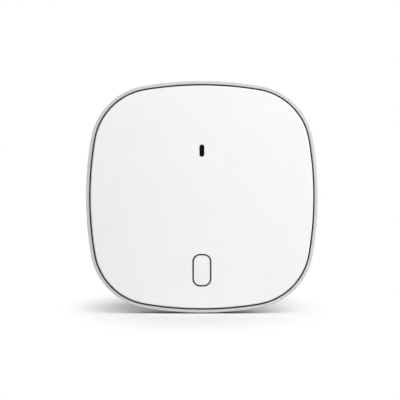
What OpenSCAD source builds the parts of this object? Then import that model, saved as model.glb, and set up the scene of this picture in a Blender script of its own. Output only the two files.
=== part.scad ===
// Garage door controller: a hub in a rounded square case that slides onto a wall bracket.
//
// Every piece is drawn in a bench frame: the wall is the plane z = 0, x points right,
// y points up the wall and z points out of the wall towards the front of the case.
// hung() then turns the bench frame so that z points up and the front faces -y.

/* [Case outline] */
// Overall width and height of the case
case_w = 75; // [73:0.5:82]
// Radius of the four long, gently curved sides
side_r = 112; // [95:1:150]
// Radius of the four corners
corner_r = 21; // [19:0.5:23]

/* [Case shells] */
// Wall of the rear housing
wall = 2; // [1.6:0.1:2.4]
// Radius of the rounded edge at the back of the housing
back_r = 8; // [6:0.5:9]
// Width of the housing's lip around the front cover
lip_w = 0.95; // [0.8:0.05:1.6]
// Radius of the lip's outer edge
lip_r = 0.2; // [0.1:0.05:0.7]
// Width of the seam between the lip and the front cover
seam_w = 0.5; // [0.3:0.05:0.6]
// Depth of the seam, from the lip down to the gasket
seam_depth = 2.4; // [1.8:0.1:2.8]
// Thickness of the gasket
gasket_t = 0.8; // [0.5:0.1:1.2]
// Thickness of the ledge that carries the gasket
ledge_t = 2.2; // [1.6:0.1:2.6]
// Thickness of the front cover's face at its edge
face_t = 2; // [1.6:0.1:2.6]
// Wall of the front cover's skirt
skirt_t = 1.5; // [1.2:0.1:2]
// Radius of the front cover's outer edge
face_edge_r = 0.5; // [0.3:0.1:1.2]
// Rise of the front face from its edge to its middle
crown = 0.5; // [0.2:0.1:1]
// Height of the front cover's edge above the lip
cover_rise = 0.7; // [0.6:0.1:1.6]

/* [Button] */
// Width of the button, to the middle of the gap around it
button_w = 5.7; // [5:0.1:7]
// Height of the button, to the middle of the gap around it
button_h = 10.1; // [9:0.1:12]
// Corner radius of the button
button_r = 2.3; // [1.6:0.1:2.4]
// Gap between the button and the front cover
button_gap = 0.52; // [0.25:0.01:0.6]
// Distance of the button's middle above the bottom of the case
button_inset = 13.75; // [13:0.25:15.5]
// Travel of the button
button_travel = 0.5; // [0.3:0.05:0.5]
// Width of the flange that keeps the button in the cover
button_flange_w = 0.9; // [0.7:0.1:1.2]
// Thickness of that flange
button_flange_t = 1; // [0.8:0.1:1.1]
// Wall of the collar that guides the flange
collar_t = 1; // [0.8:0.1:1.4]
// Height of the collar
collar_h = 1.9; // [1.7:0.1:2]
// Gap between the flange and the collar
collar_gap = 0.25; // [0.15:0.05:0.4]

/* [Push switch] */
// Side of the square switch
switch_w = 6.2; // [5.6:0.1:6.6]
// Height of the switch's base
switch_h = 1.5; // [1.4:0.1:1.6]
// Thickness of the metal plate on the switch
switch_plate_t = 0.25; // [0.2:0.05:0.3]
// Thickness of the floor of the switch's base
switch_floor_t = 0.25; // [0.2:0.05:0.3]
// Radius of the plunger's post
plunger_r = 1.5; // [1.2:0.1:1.7]
// Width of the shoulder around the plunger's post
plunger_shoulder_w = 0.5; // [0.4:0.1:0.6]
// Height of the plunger's post above the plate
plunger_rise = 0.75; // [0.6:0.05:0.8]
// Gap between the plunger's shoulder and the plate
shoulder_gap = 0.12; // [0.05:0.01:0.15]
// Distance between the two leads on a side of the switch
switch_lead_pitch = 4.5; // [3:0.1:5]
// Width of a switch lead
switch_lead_w = 1; // [0.6:0.1:1.2]
// Length of a switch lead
switch_lead_l = 1.2; // [0.8:0.1:1.6]
// Thickness of a switch lead
switch_lead_t = 0.2; // [0.15:0.05:0.3]

/* [Indicator] */
// Width of the indicator slit
lens_w = 1.6; // [1.2:0.05:2]
// Height of the indicator slit
lens_h = 4; // [3:0.1:5]
// Distance of the slit's middle below the top of the case
lens_inset = 22.55; // [20:0.05:24.5]
// Width of the lens's flange behind the cover
lens_flange_w = 1.2; // [0.8:0.1:1.6]
// Thickness of the lens's flange
lens_flange_t = 1; // [0.8:0.1:1.2]
// Width of the light pipe beyond the slit, on each side
pipe_margin = 0.5; // [0.3:0.1:0.8]
// Gap between the light pipe and the lamps
pipe_gap = 0.2; // [0.1:0.05:0.4]
// Width of a status lamp
led_w = 1.6; // [1.2:0.1:2]
// Length of a status lamp
led_l = 1.2; // [0.8:0.1:1.4]
// Height of a status lamp
led_h = 0.7; // [0.4:0.1:1]
// Distance between the two status lamps
led_pitch = 1.6; // [1.5:0.1:2]

/* [Board] */
// Thickness of the main board
board_t = 1.6; // [1.2:0.1:2]
// Room behind the board for its parts
rear_room = 6.2; // [6:0.1:8]
// Room between the board and the front cover
front_room = 4; // [4:0.1:5]
// Gap between the board's edge and the ledge
board_gap = 0.55; // [0.3:0.05:0.8]
// Gap between the parts at the sides of the board and the screw towers
part_gap = 1.2; // [0.6:0.1:1.8]

/* [Wall bracket] */
// Width of the bracket's rail
rail_w = 34; // [31:0.5:35]
// Width of the bracket's neck against the wall
neck_w = 28; // [24:0.5:29]
// Height of the bracket
bracket_h = 38; // [34:0.5:39]
// Thickness of the rail
rail_t = 2.2; // [1.8:0.1:3]
// Corner radius of the bracket
bracket_r = 3; // [1:0.5:4]
// Distance between the two wall screw holes
hole_pitch = 24; // [22:1:26]
// Radius of the wall screw holes
hole_r = 2.25; // [1.8:0.05:2.4]
// Radius of the countersinks
sink_r = 4.2; // [3.6:0.1:4.6]
// Width of the springy tongue
tongue_w = 9; // [7:0.5:11]
// Length of the springy tongue
tongue_l = 9; // [8:0.5:10]
// Width of the slot around the tongue
tongue_slot = 1.2; // [0.8:0.1:1.4]
// Thickness of the housing's runners behind the rail
runner_t = 1.4; // [1.2:0.1:2]
// Wall of the pocket that holds the rail
pocket_t = 1.8; // [1.4:0.1:2]
// Gap between the case's back and the wall
wall_gap = 1; // [0.6:0.1:1.6]
// Sliding clearance between the bracket and the housing
slide_gap = 0.2; // [0.15:0.05:0.3]

/* [Case screws] */
// Distance from the case's corner to a screw, along the diagonal
screw_inset = 11.4; // [11:0.1:11.6]
// Radius of the screw's shank
screw_r = 1; // [0.9:0.05:1.1]
// Length of the screw's shank
screw_l = 10; // [9:0.5:11]
// Radius of the screw's head
screw_head_r = 1.9; // [1.7:0.05:2]
// Height of the screw's head
screw_head_h = 1.3; // [1.1:0.1:1.5]
// Length of shank in the cover's boss
screw_bite = 3.2; // [2.6:0.1:3.4]
// Room past the screw's tip
screw_tip_gap = 0.3; // [0.1:0.1:0.5]
// Width of a bar of the cross in the screw's head
cross_w = 0.5; // [0.4:0.05:0.7]
// Length of a bar of the cross
cross_l = 2.3; // [1.8:0.1:2.6]
// Depth of the cross
cross_depth = 0.8; // [0.5:0.1:1]
// Wall of the bosses and towers around the screw
tower_t = 1; // [0.8:0.1:1.2]
// Clearance of the screw in the housing and the board
screw_gap = 0.25; // [0.15:0.05:0.35]
// Clearance of the screw's head in its well
head_gap = 0.35; // [0.2:0.05:0.4]

/* [Power inlet] */
// Width of the socket
socket_w = 7.5; // [7:0.1:8]
// Height of the socket
socket_h = 2.6; // [2.4:0.1:2.9]
// Length of the socket
socket_l = 5.8; // [5:0.1:6.4]
// Sheet thickness of the socket's shell
socket_t = 0.3; // [0.2:0.05:0.35]
// Height of the socket's upright sides, below its slanted shoulders
socket_side_h = 1; // [0.8:0.1:1.4]
// Width of each slanted shoulder
socket_shoulder = 1; // [0.6:0.1:1.3]
// Gap between the socket and the window that it stands in
window_gap = 0.3; // [0.2:0.05:0.5]
// Width of the socket's contact tongue
contact_tongue_w = 4.4; // [4:0.1:4.8]
// Thickness of the contact tongue
contact_tongue_t = 0.6; // [0.4:0.05:0.7]
// Length of the block that carries the contact tongue
tongue_block = 2; // [1.4:0.1:2.4]
// Distance of the tongue's end behind the socket's mouth
tongue_setback = 0.8; // [0.4:0.1:1]
// Number of contacts
contact_count = 5; // [4:1:6]
// Distance between contacts
contact_pitch = 0.65; // [0.6:0.05:0.7]
// Width of a contact
contact_w = 0.3; // [0.2:0.05:0.4]
// Thickness of a contact
contact_t = 0.12; // [0.1:0.01:0.2]
// Width of the recess for the plug's body
plug_w = 11.8; // [11:0.1:13]
// Height of the recess for the plug's body
plug_h = 7; // [6.4:0.1:7]
// Corner radius of the recess
plug_r = 1.6; // [1:0.1:2.4]
// Depth of the recess
recess_depth = 4.6; // [4.4:0.1:5]
// Wall around the recess
recess_t = 1.2; // [1:0.1:1.4]

/* [Sounder] */
// Radius of the sounder
sounder_r = 6; // [5:0.25:6.25]
// Height of the sounder
sounder_h = 5.4; // [4.6:0.1:5.6]
// Wall of the sounder's case
sounder_t = 0.6; // [0.5:0.05:0.8]
// Radius of the sounder's port
sounder_port_r = 1; // [0.6:0.1:1.6]
// Thickness of the sounding disc
disc_t = 0.4; // [0.2:0.05:0.6]
// Height of the disc's seat above the board
seat_h = 1.6; // [1.5:0.1:2]
// Width of the disc's seat
seat_w = 0.5; // [0.3:0.1:0.8]
// Radius of a sounder pin
pin_r = 0.35; // [0.25:0.05:0.5]
// Height of a sounder pin above the board
pin_l = 1.4; // [0.8:0.1:1.4]
// Distance between the two sounder pins
pin_pitch = 6; // [4:0.5:7]
// Number of sound holes in the housing
sound_holes = 5; // [3:1:7]
// Radius of a sound hole
sound_hole_r = 0.8; // [0.5:0.05:1]
// Distance between sound holes
sound_pitch = 3.2; // [2.6:0.1:4]
// Distance of the row of sound holes below the top of the case
sound_inset = 11.4; // [10.5:0.1:13]

/* [Radio parts] */
// Width of the radio module
radio_w = 16; // [14:0.5:16.5]
// Height of the radio module
radio_h = 22; // [20:0.5:22.5]
// Thickness of the radio module's board
radio_t = 0.8; // [0.6:0.1:1]
// Height of the shield can
shield_h = 2.2; // [1.8:0.1:2.6]
// Sheet thickness of the shield can
shield_t = 0.2; // [0.15:0.05:0.3]
// Length of the shield can
shield_l = 14.5; // [13:0.5:15]
// Bare margin of the module around the shield can and the aerial
shield_margin = 0.8; // [0.5:0.1:1]
// Side of the chip under the shield can
radio_chip_w = 7; // [5:0.5:8]
// Height of that chip
radio_chip_h = 0.9; // [0.6:0.1:1.2]
// Width of the flat aerial's track
trace_w = 0.6; // [0.4:0.1:0.8]
// Thickness of the flat aerial's track
trace_t = 0.1; // [0.05:0.05:0.2]
// Number of bars of the flat aerial
trace_bars = 6; // [4:1:8]
// Length of the flat aerial's bars
trace_reach = 4.4; // [3:0.1:5]
// Outer diameter of the coil antenna
coil_d = 5; // [4:0.25:5.25]
// Diameter of the coil antenna's wire
coil_wire = 0.8; // [0.6:0.05:0.9]
// Distance between the coil's turns
coil_pitch = 1.6; // [1.5:0.1:1.8]
// Number of turns of the coil
coil_turns = 12; // [8:1:12]
// Gap between the coil's turns and the board
coil_lift = 0.35; // [0.2:0.05:0.5]
// Distance of the coil's middle from the right side of the case
coil_inset = 9.5; // [9:0.1:10]

/* [Chips] */
// Height of a flat chip
flat_chip_h = 0.9; // [0.7:0.1:1.2]
// Side of the processor
processor_w = 7; // [5:0.5:8]
// Side of the door radio's chip
door_radio_w = 4; // [3:0.5:5]
// Width of the crystal
crystal_w = 3.2; // [2:0.1:4]
// Length of the crystal
crystal_l = 2.5; // [1.6:0.1:3]
// Height of the crystal
crystal_h = 0.8; // [0.5:0.1:1.2]
// Width of a chip with legs
leg_chip_w = 5; // [4.8:0.1:5.4]
// Length of a chip with legs
leg_chip_l = 4; // [3.6:0.1:4.2]
// Height of the body of a chip with legs
leg_chip_h = 1.5; // [1:0.1:1.8]
// Gap between that body and the board
leg_chip_lift = 0.1; // [0.05:0.05:0.2]
// Number of legs on a side
leg_count = 4; // [3:1:4]
// Distance between legs
leg_pitch = 1.27; // [1:0.01:1.3]
// Width of a leg
leg_w = 0.42; // [0.3:0.02:0.5]
// Thickness of a leg
leg_t = 0.2; // [0.15:0.05:0.3]
// Reach of a leg beyond the body
leg_reach = 1.1; // [0.9:0.1:1.2]
// Radius of the mark at a chip's first pin
mark_r = 0.3; // [0.2:0.05:0.4]
// Depth of that mark
mark_depth = 0.1; // [0.05:0.05:0.2]
// Length of a small chip part
small_l = 1.6; // [1:0.1:1.8]
// Width of a small chip part
small_w = 0.8; // [0.5:0.1:1]
// Height of a small chip part
small_h = 0.7; // [0.4:0.1:1]
// Number of small parts in a row
small_count = 4; // [2:1:4]
// Distance between small parts in a row
small_pitch = 1.9; // [1.7:0.1:2]

/* [Power parts] */
// Diameter of the electrolytic capacitors
can_d = 5; // [4:0.25:5.5]
// Height of the electrolytic capacitors
can_h = 5.2; // [4.5:0.1:5.6]
// Side of the power inductor
inductor_w = 5; // [4:0.25:5.5]
// Height of the power inductor
inductor_h = 3; // [2:0.25:4]
// Corner radius of the power inductor
inductor_r = 0.6; // [0.3:0.1:1]
// Height of the foot under a capacitor
foot_h = 0.5; // [0.3:0.1:0.8]

/* [Clearances] */
// Gap of a piece that is pressed or dropped into its seat
fit = 0.05; // [0.03:0.01:0.08]

/* [Hidden] */
$fn = 64;

// Overshoot of a cut past the face that it opens
past = 1;
// Steps along a side, a corner, a rounded edge, the back's edge, the crown and a small corner
side_steps = 6;
corner_steps = 14;
edge_steps = 3;
back_steps = 5;
crown_steps = 5;
pill_steps = 6;

// The outline's corner arcs meet its side arcs tangentially.
half_w = case_w / 2;
side_back = side_r - half_w;
side_less_corner = side_r - corner_r;
corner_c = (sqrt(2 * pow(side_less_corner, 2) - pow(side_back, 2)) - side_back) / 2;
side_angle = atan2(corner_c, corner_c + side_back);

// Heights above the wall, from the bracket out to the front
back_z = wall_gap;
neck_t = wall_gap + runner_t + slide_gap;
rail_z = neck_t + rail_t;
pocket_z = rail_z + slide_gap;
pocket_roof_z = pocket_z + pocket_t;
board_z = pocket_roof_z + rear_room;
board_top = board_z + board_t;
inner_z = board_top + front_room;
edge_z = inner_z + face_t;
lip_z = edge_z - cover_rise;
gasket_z = lip_z - seam_depth;
ledge_z = gasket_z - gasket_t;

// Insets from the case's outline
cover_inset = lip_w + seam_w;
skirt_inset = cover_inset + skirt_t;
board_inset = skirt_inset + board_gap;

// The board is clamped between the housing's towers and the cover's bosses.
screw_xy = corner_c + (corner_r - screw_inset) / sqrt(2);
tower_r = screw_head_r + head_gap + tower_t;
boss_r = screw_r + fit + 2 * tower_t;
screw_seat_z = board_top + screw_bite - screw_l;

// Button and switch
button_drop = half_w - button_inset;
flange_z = inner_z - fit - button_flange_t;
flange_w = button_w + button_gap + 2 * button_flange_w;
flange_h = button_h + button_gap + 2 * button_flange_w;
flange_r = button_r + button_gap / 2 + button_flange_w;
plate_z = board_top + switch_h;
plunger_top = plate_z + switch_plate_t + plunger_rise;
shoulder_r = plunger_r + plunger_shoulder_w;
shoulder_t = switch_h - switch_floor_t - shoulder_gap - button_travel - fit;

// Indicator
lens_lift = half_w - lens_inset;
pipe_z = board_top + led_h + pipe_gap;
lens_back_z = inner_z - lens_flange_t;

// The socket's mouth stands in a window in the floor of the plug's recess.
socket_mid_z = board_z - socket_h / 2;
recess_floor = half_w - recess_depth;
socket_mouth = recess_floor - fit;
socket_back = socket_mouth - socket_l;
board_notch = recess_floor - recess_t - window_gap;

// Places on the back of the board, from its middle
part_limit = screw_xy - tower_r - part_gap;
sounder_at = [part_limit - sounder_r, half_w - sound_inset - sounder_r];
radio_at = [radio_w / 2 - part_limit, 11];
coil_at = [half_w - coil_inset, -9.5];
processor_at = [3, -6];
door_radio_at = [15.5, -5];
crystal_at = [15.5, 1.5];
memory_at = [-9, -7];
regulator_at = [11.5, -18.5];
inductor_at = [3, -19];
can_places = [[-5, -18.5], [-12, -18.5]];
capacitor_rows = [[-14, -13], [-3, -12.5], [9, -12.5], [-15.5, -2.5]];
resistor_rows = [[-14, -24.5], [9, -25], [20, -12.5], [8, 6]];

// Coil antenna: sides of its wire, rings in a turn and rings in a leg
coil_sides = 6;
coil_rings = 8;
leg_rings = 2;
coil_r = (coil_d - coil_wire) / 2;
coil_mid = coil_lift + coil_d / 2;
coil_last = 360 * coil_turns + 180;
coil_steps = coil_rings * (coil_turns + 0.5);
coil_end_y = coil_pitch * coil_last / 360;

// Points of the rounded square outline, moved in by an inset, from its right side round
function outline(inset) = [
  for (quarter = [0:3])
    let (turn = 90 * quarter)
    each concat(
      [for (i = [0:side_steps])
        let (a = side_angle * (2 * i / side_steps - 1))
        spun([-side_back + (side_r - inset) * cos(a), (side_r - inset) * sin(a)], turn)],
      [for (i = [1:corner_steps - 1])
        let (a = side_angle + (90 - 2 * side_angle) * i / corner_steps)
        spun([corner_c + (corner_r - inset) * cos(a), corner_c + (corner_r - inset) * sin(a)], turn)]
    )
];

// A point turned about the origin
function spun(p, turn) = [p.x * cos(turn) - p.y * sin(turn), p.x * sin(turn) + p.y * cos(turn)];

// Points of a rectangle with rounded corners, about the origin
function rounded(w, h, r) = [
  for (corner = [0:3])
    let (sx = corner == 0 || corner == 3 ? 1 : -1, sy = corner < 2 ? 1 : -1)
    for (i = [0:pill_steps])
      let (a = 90 * (corner + i / pill_steps))
      [sx * (w / 2 - r) + r * cos(a), sy * (h / 2 - r) + r * sin(a)]
];

// Points of the socket's section, moved in by an inset: width along x, height off the board along y
function socket_section(inset) = let (
  rise = socket_h - socket_side_h,
  slant = norm([socket_shoulder, rise]),
  wide = socket_w / 2 - inset,
  narrow = socket_w / 2 - socket_shoulder - inset * (slant - socket_shoulder) / rise,
  bend = socket_side_h - inset * (slant - rise) / socket_shoulder
) [
  [-wide, inset], [wide, inset], [wide, bend],
  [narrow, socket_h - inset], [-narrow, socket_h - inset], [-wide, bend]
];

// Turns the bench frame upright: z points up and the front faces -y.
module hung() {
  rotate([90, 0, 0]) children();
}

// Stands children on the back of the board, with height measured away from it.
module on_back(at) {
  translate([at.x, at.y, board_z]) mirror([0, 0, 1]) children();
}

// A block that is centred in x and y and stands on z = 0.
module block(size) {
  translate([-size.x / 2, -size.y / 2, 0]) cube(size);
}

// A closed solid through a stack of rings that all have the same number of points.
module stack(rings) {
  n = len(rings[0]);
  top = (len(rings) - 1) * n;
  polyhedron(
    points = [for (ring = rings) each ring],
    faces = concat(
      [[for (i = [0:n - 1]) i]],
      [for (k = [0:len(rings) - 2], i = [0:n - 1])
        let (a = k * n + i, b = k * n + (i + 1) % n)
        each [[a, a + n, b], [b, a + n, b + n]]],
      [[for (i = [0:n - 1]) top + n - 1 - i]]
    )
  );
}

// The case's outline at an inset and a height, with its middle drawn in by a share
function ring(inset, z, share = 1) = [for (p = outline(inset)) [p.x * share, p.y * share, z]];

// A plate of the case's outline between two heights
module plate(inset, z0, z1) {
  translate([0, 0, z0]) linear_extrude(z1 - z0) polygon(outline(inset));
}

// A prism of a rounded rectangle between two heights
module pill(w, h, r, z0, z1) {
  translate([0, 0, z0]) linear_extrude(z1 - z0) polygon(rounded(w, h, r));
}

// Children at the four case screws
module at_screws() {
  for (sx = [-1, 1], sy = [-1, 1]) translate([sx * screw_xy, sy * screw_xy, 0]) children();
}

// Outer form of the rear housing: rounded back edge, straight side, rounded lip
module housing_form() {
  stack(concat(
    [for (i = [0:back_steps])
      let (a = 90 * i / back_steps)
      ring(back_r * (1 - sin(a)), back_z + back_r * (1 - cos(a)))],
    [for (i = [0:edge_steps])
      let (a = 90 * i / edge_steps)
      ring(lip_r * (1 - cos(a)), lip_z - lip_r * (1 - sin(a)))]
  ));
}

// Space inside the housing, one wall inside its outer form and narrowed under the ledge
module housing_space() {
  inner_r = back_r - wall;
  stack(concat(
    [for (i = [0:back_steps])
      let (a = 90 * i / back_steps)
      ring(wall + inner_r * (1 - sin(a)), back_z + wall + inner_r * (1 - cos(a)))],
    [ring(wall, ledge_z - ledge_t)]
  ));
  plate(skirt_inset, ledge_z - ledge_t - past, ledge_z + past);
}

// Walls that stand in the housing: the rail's pocket, the screw towers and the plug's recess
module housing_fittings() {
  pocket_half = rail_w / 2 + slide_gap + pocket_t;
  pocket_top = bracket_h / 2 + slide_gap + pocket_t;
  translate([-pocket_half, -case_w, 0]) cube([2 * pocket_half, case_w + pocket_top, pocket_roof_z]);
  at_screws() cylinder(r = tower_r, h = board_z);
  recess_form(recess_t, -recess_t, ledge_z - socket_mid_z);
}

// The plug's recess, grown by a wall and ending a wall short of or past its floor
module recess_form(grow, floor_shift, top) {
  w = plug_w + 2 * grow;
  h = plug_h + 2 * grow;
  intersection() {
    translate([0, -recess_floor - floor_shift, socket_mid_z]) rotate([90, 0, 0])
      linear_extrude(case_w) polygon(rounded(w, h, plug_r + grow));
    translate([-w, -case_w, socket_mid_z - h]) cube([2 * w, 2 * case_w, h + top]);
  }
}

module rear_housing() {
  color("lightgray") difference() {
    housing_form();
    difference() {
      housing_space();
      housing_fittings();
    }
    plate(lip_w, ledge_z, lip_z + past);
    rail_channel();
    recess_form(0, 0, plug_h);
    at_socket(-recess_floor + recess_t + past) linear_extrude(recess_t + 2 * past) socket_window();
    at_screws() {
      translate([0, 0, -past]) cylinder(r = screw_r + screw_gap, h = board_z + 2 * past);
      translate([0, 0, -past]) cylinder(r = screw_head_r + head_gap, h = screw_seat_z + past);
    }
    for (i = [0:sound_holes - 1])
      translate([(i - (sound_holes - 1) / 2) * sound_pitch, half_w - sound_inset, 0])
        cylinder(r = sound_hole_r, h = back_z + wall + past);
  }
}

// Window in the recess's floor that the socket stands in
module socket_window() {
  translate([-socket_w / 2 - window_gap, -window_gap])
    square([socket_w + 2 * window_gap, socket_h + 2 * window_gap]);
}

// Channel for the bracket: wide for the rail, narrow for the neck, open at the bottom
module rail_channel() {
  top = bracket_h / 2 + slide_gap;
  rail_half = rail_w / 2 + slide_gap;
  neck_half = neck_w / 2 + slide_gap;
  translate([-rail_half, -case_w, back_z + runner_t])
    cube([2 * rail_half, case_w + top, pocket_z - back_z - runner_t]);
  translate([-neck_half, -case_w, back_z - past])
    cube([2 * neck_half, case_w + top, runner_t + 2 * past]);
}

module wall_bracket() {
  color("gainsboro") difference() {
    union() {
      pill(neck_w, bracket_h, bracket_r, 0, neck_t + fit);
      pill(rail_w, bracket_h, bracket_r, neck_t, rail_z);
    }
    for (side = [-1, 1]) translate([0, side * hole_pitch / 2, 0]) {
      translate([0, 0, -past]) cylinder(r = hole_r, h = rail_z + 2 * past);
      translate([0, 0, rail_z - (sink_r - hole_r)])
        cylinder(r1 = hole_r, r2 = sink_r + past, h = sink_r - hole_r + past);
    }
    tongue_cut();
  }
}

// Slot on three sides of the bracket's springy tongue
module tongue_cut() {
  out_w = tongue_w + 2 * tongue_slot;
  translate([0, 0, -past]) linear_extrude(rail_z + 2 * past) difference() {
    translate([-out_w / 2, -tongue_l / 2]) square([out_w, tongue_l + tongue_slot]);
    translate([-tongue_w / 2, -tongue_l / 2 - past]) square([tongue_w, tongue_l + past]);
  }
}

// Outer form of the front cover: skirt, rounded edge and gently crowned face
module cover_form() {
  edge_inset = cover_inset + face_edge_r;
  stack(concat(
    [ring(cover_inset, gasket_z)],
    [for (i = [0:edge_steps])
      let (a = 90 * i / edge_steps)
      ring(cover_inset + face_edge_r * (1 - cos(a)), edge_z - face_edge_r * (1 - sin(a)))],
    [for (i = [1:crown_steps - 1])
      let (share = 1 - i / crown_steps)
      ring(edge_inset, edge_z + crown * (1 - share * share), share)]
  ));
}

// A prism around the button's flange, grown on every side
module flange_form(grow, z0, z1) {
  translate([0, -button_drop, 0])
    pill(flange_w + 2 * grow, flange_h + 2 * grow, flange_r + grow, z0, z1);
}

module front_cover() {
  color("white") difference() {
    union() {
      difference() {
        cover_form();
        plate(skirt_inset, gasket_z - past, inner_z);
      }
      at_screws() translate([0, 0, board_top]) cylinder(r = boss_r, h = front_room + fit);
      difference() {
        flange_form(collar_gap + collar_t, inner_z - collar_h, inner_z + fit);
        flange_form(collar_gap, inner_z - collar_h - past, inner_z);
      }
    }
    at_screws() translate([0, 0, board_top - past])
      cylinder(r = screw_r + fit, h = screw_bite + screw_tip_gap + past);
    translate([0, -button_drop, 0])
      pill(button_w + button_gap, button_h + button_gap, button_r + button_gap / 2,
        inner_z - past, edge_z + crown + past);
    slit_form(0, inner_z - past, edge_z + crown + past);
  }
}

module seam_gasket() {
  color([0.12, 0.12, 0.13]) translate([0, 0, ledge_z]) linear_extrude(gasket_t) difference() {
    polygon(outline(lip_w + fit));
    polygon(outline(skirt_inset));
  }
}

// Four screws from the back, each with a cross in its head
module case_screws() {
  color("silver") at_screws() difference() {
    union() {
      translate([0, 0, screw_seat_z - screw_head_h]) cylinder(r = screw_head_r, h = screw_head_h);
      translate([0, 0, screw_seat_z - fit]) cylinder(r = screw_r, h = screw_l + fit);
    }
    for (turn = [0, 90])
      translate([0, 0, screw_seat_z - screw_head_h - past]) rotate(turn)
        block([cross_l, cross_w, cross_depth + past]);
  }
}

module main_board() {
  notch_w = plug_w + 2 * recess_t + 2 * window_gap;
  cut_h = board_t + 2 * past;
  color("seagreen") difference() {
    plate(board_inset, board_z, board_top);
    at_screws() translate([0, 0, board_z - past]) cylinder(r = screw_r + screw_gap, h = cut_h);
    translate([-notch_w / 2, -case_w, board_z - past]) cube([notch_w, case_w - board_notch, cut_h]);
  }
}

// Button: a cap that is flush with the crowned face, its flange and a short stem
module button_cap() {
  w = button_w - button_gap;
  h = button_h - button_gap;
  r = button_r - button_gap / 2;
  color("white") union() {
    intersection() {
      translate([0, -button_drop, 0]) pill(w, h, r, flange_z, edge_z + crown + past);
      cover_form();
    }
    flange_form(0, flange_z, flange_z + button_flange_t);
    at_switch() translate([0, 0, plunger_top + fit]) cylinder(r = plunger_r, h = flange_z - plunger_top);
  }
}

// Children at the switch behind the button
module at_switch() {
  translate([0, -button_drop, 0]) children();
}

module switch_base() {
  color([0.15, 0.15, 0.16]) at_switch() translate([0, 0, board_top]) difference() {
    block([switch_w, switch_w, switch_h]);
    translate([0, 0, switch_floor_t]) cylinder(r = shoulder_r + 2 * fit, h = switch_h);
  }
}

module switch_plate() {
  color("silver") at_switch() translate([0, 0, plate_z]) difference() {
    block([switch_w, switch_w, switch_plate_t]);
    translate([0, 0, -past]) cylinder(r = plunger_r + 2 * fit, h = switch_plate_t + 2 * past);
  }
}

module switch_leads() {
  color("silver") at_switch() for (sx = [-1, 1], sy = [-1, 1])
    translate([sx * (switch_w + switch_lead_l) / 2, sy * switch_lead_pitch / 2, board_top])
      block([switch_lead_l, switch_lead_w, switch_lead_t]);
}

// Plunger: a post through the plate on a wider shoulder below it
module switch_plunger() {
  shoulder_z = plate_z - shoulder_gap - shoulder_t;
  color("ivory") at_switch() {
    translate([0, 0, shoulder_z]) cylinder(r = shoulder_r, h = shoulder_t);
    translate([0, 0, shoulder_z]) cylinder(r = plunger_r, h = plunger_top - shoulder_z);
  }
}

// A prism of the indicator slit, grown on every side
module slit_form(grow, z0, z1) {
  w = lens_w + 2 * grow;
  translate([0, lens_lift, 0]) pill(w, lens_h + 2 * grow, w / 2, z0, z1);
}

// Dark lens: flush with the crowned face, with a flange behind the cover
module led_lens() {
  color([0.03, 0.03, 0.03]) union() {
    intersection() {
      slit_form(-fit, lens_back_z, edge_z + crown + past);
      cover_form();
    }
    slit_form(lens_flange_w, lens_back_z, inner_z);
  }
}

module light_pipe() {
  color("aliceblue") slit_form(pipe_margin, pipe_z, lens_back_z);
}

module status_leds() {
  color("lightyellow") for (side = [-1, 1])
    translate([0, lens_lift + side * led_pitch / 2, board_top]) block([led_w, led_l, led_h]);
}

// Stands a drawn section at a place along y, run towards the mouth, with its foot on the board's back
module at_socket(y) {
  translate([0, y, board_z]) mirror([0, 0, 1]) rotate([90, 0, 0]) children();
}

module socket_shell() {
  color("silver") difference() {
    at_socket(-socket_back) linear_extrude(socket_l) polygon(socket_section(0));
    at_socket(-socket_back + past) linear_extrude(socket_l + 2 * past) polygon(socket_section(socket_t));
  }
}

module socket_tongue() {
  color([0.1, 0.1, 0.1]) {
    at_socket(-socket_back) linear_extrude(tongue_block) polygon(socket_section(socket_t + fit));
    at_socket(-socket_back) linear_extrude(socket_l - tongue_setback)
      translate([-contact_tongue_w / 2, socket_h / 2]) square([contact_tongue_w, contact_tongue_t]);
  }
}

module socket_contacts() {
  color("gold") for (i = [0:contact_count - 1])
    at_socket(-socket_back - tongue_block) linear_extrude(socket_l - tongue_block - tongue_setback)
      translate([(i - (contact_count - 1) / 2) * contact_pitch - contact_w / 2, socket_h / 2 - contact_t])
        square([contact_w, contact_t]);
}

// Sounder: a cup on the board with a port in its end and a seat for the disc
module sounder_case() {
  inner_r = sounder_r - sounder_t;
  color([0.08, 0.08, 0.09]) on_back(sounder_at) difference() {
    cylinder(r = sounder_r, h = sounder_h);
    translate([0, 0, seat_h]) cylinder(r = inner_r, h = sounder_h - seat_h - sounder_t);
    translate([0, 0, -past]) cylinder(r = inner_r - seat_w, h = seat_h + 2 * past);
    cylinder(r = sounder_port_r, h = sounder_h + past);
  }
}

module sounder_disc() {
  color("gold") on_back(sounder_at) translate([0, 0, seat_h])
    cylinder(r = sounder_r - sounder_t - fit, h = disc_t);
}

module sounder_pins() {
  color("silver") on_back(sounder_at) for (side = [-1, 1])
    translate([side * pin_pitch / 2, 0, 0]) cylinder(r = pin_r, h = pin_l);
}

module radio_board() {
  color("darkgreen") on_back(radio_at) block([radio_w, radio_h, radio_t]);
}

// Children at the middle of the shield can, on the module's board
module under_shield() {
  on_back(radio_at) translate([0, shield_l / 2 + shield_margin - radio_h / 2, radio_t]) children();
}

// Shield can: a shallow box that is open towards the board
module radio_shield() {
  w = radio_w - 2 * shield_margin;
  color("silver") under_shield() difference() {
    block([w, shield_l, shield_h]);
    translate([0, 0, -past]) block([w - 2 * shield_t, shield_l - 2 * shield_t, shield_h - shield_t + past]);
  }
}

module radio_chip() {
  color([0.1, 0.1, 0.1]) under_shield() block([radio_chip_w, radio_chip_w, radio_chip_h]);
}

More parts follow.
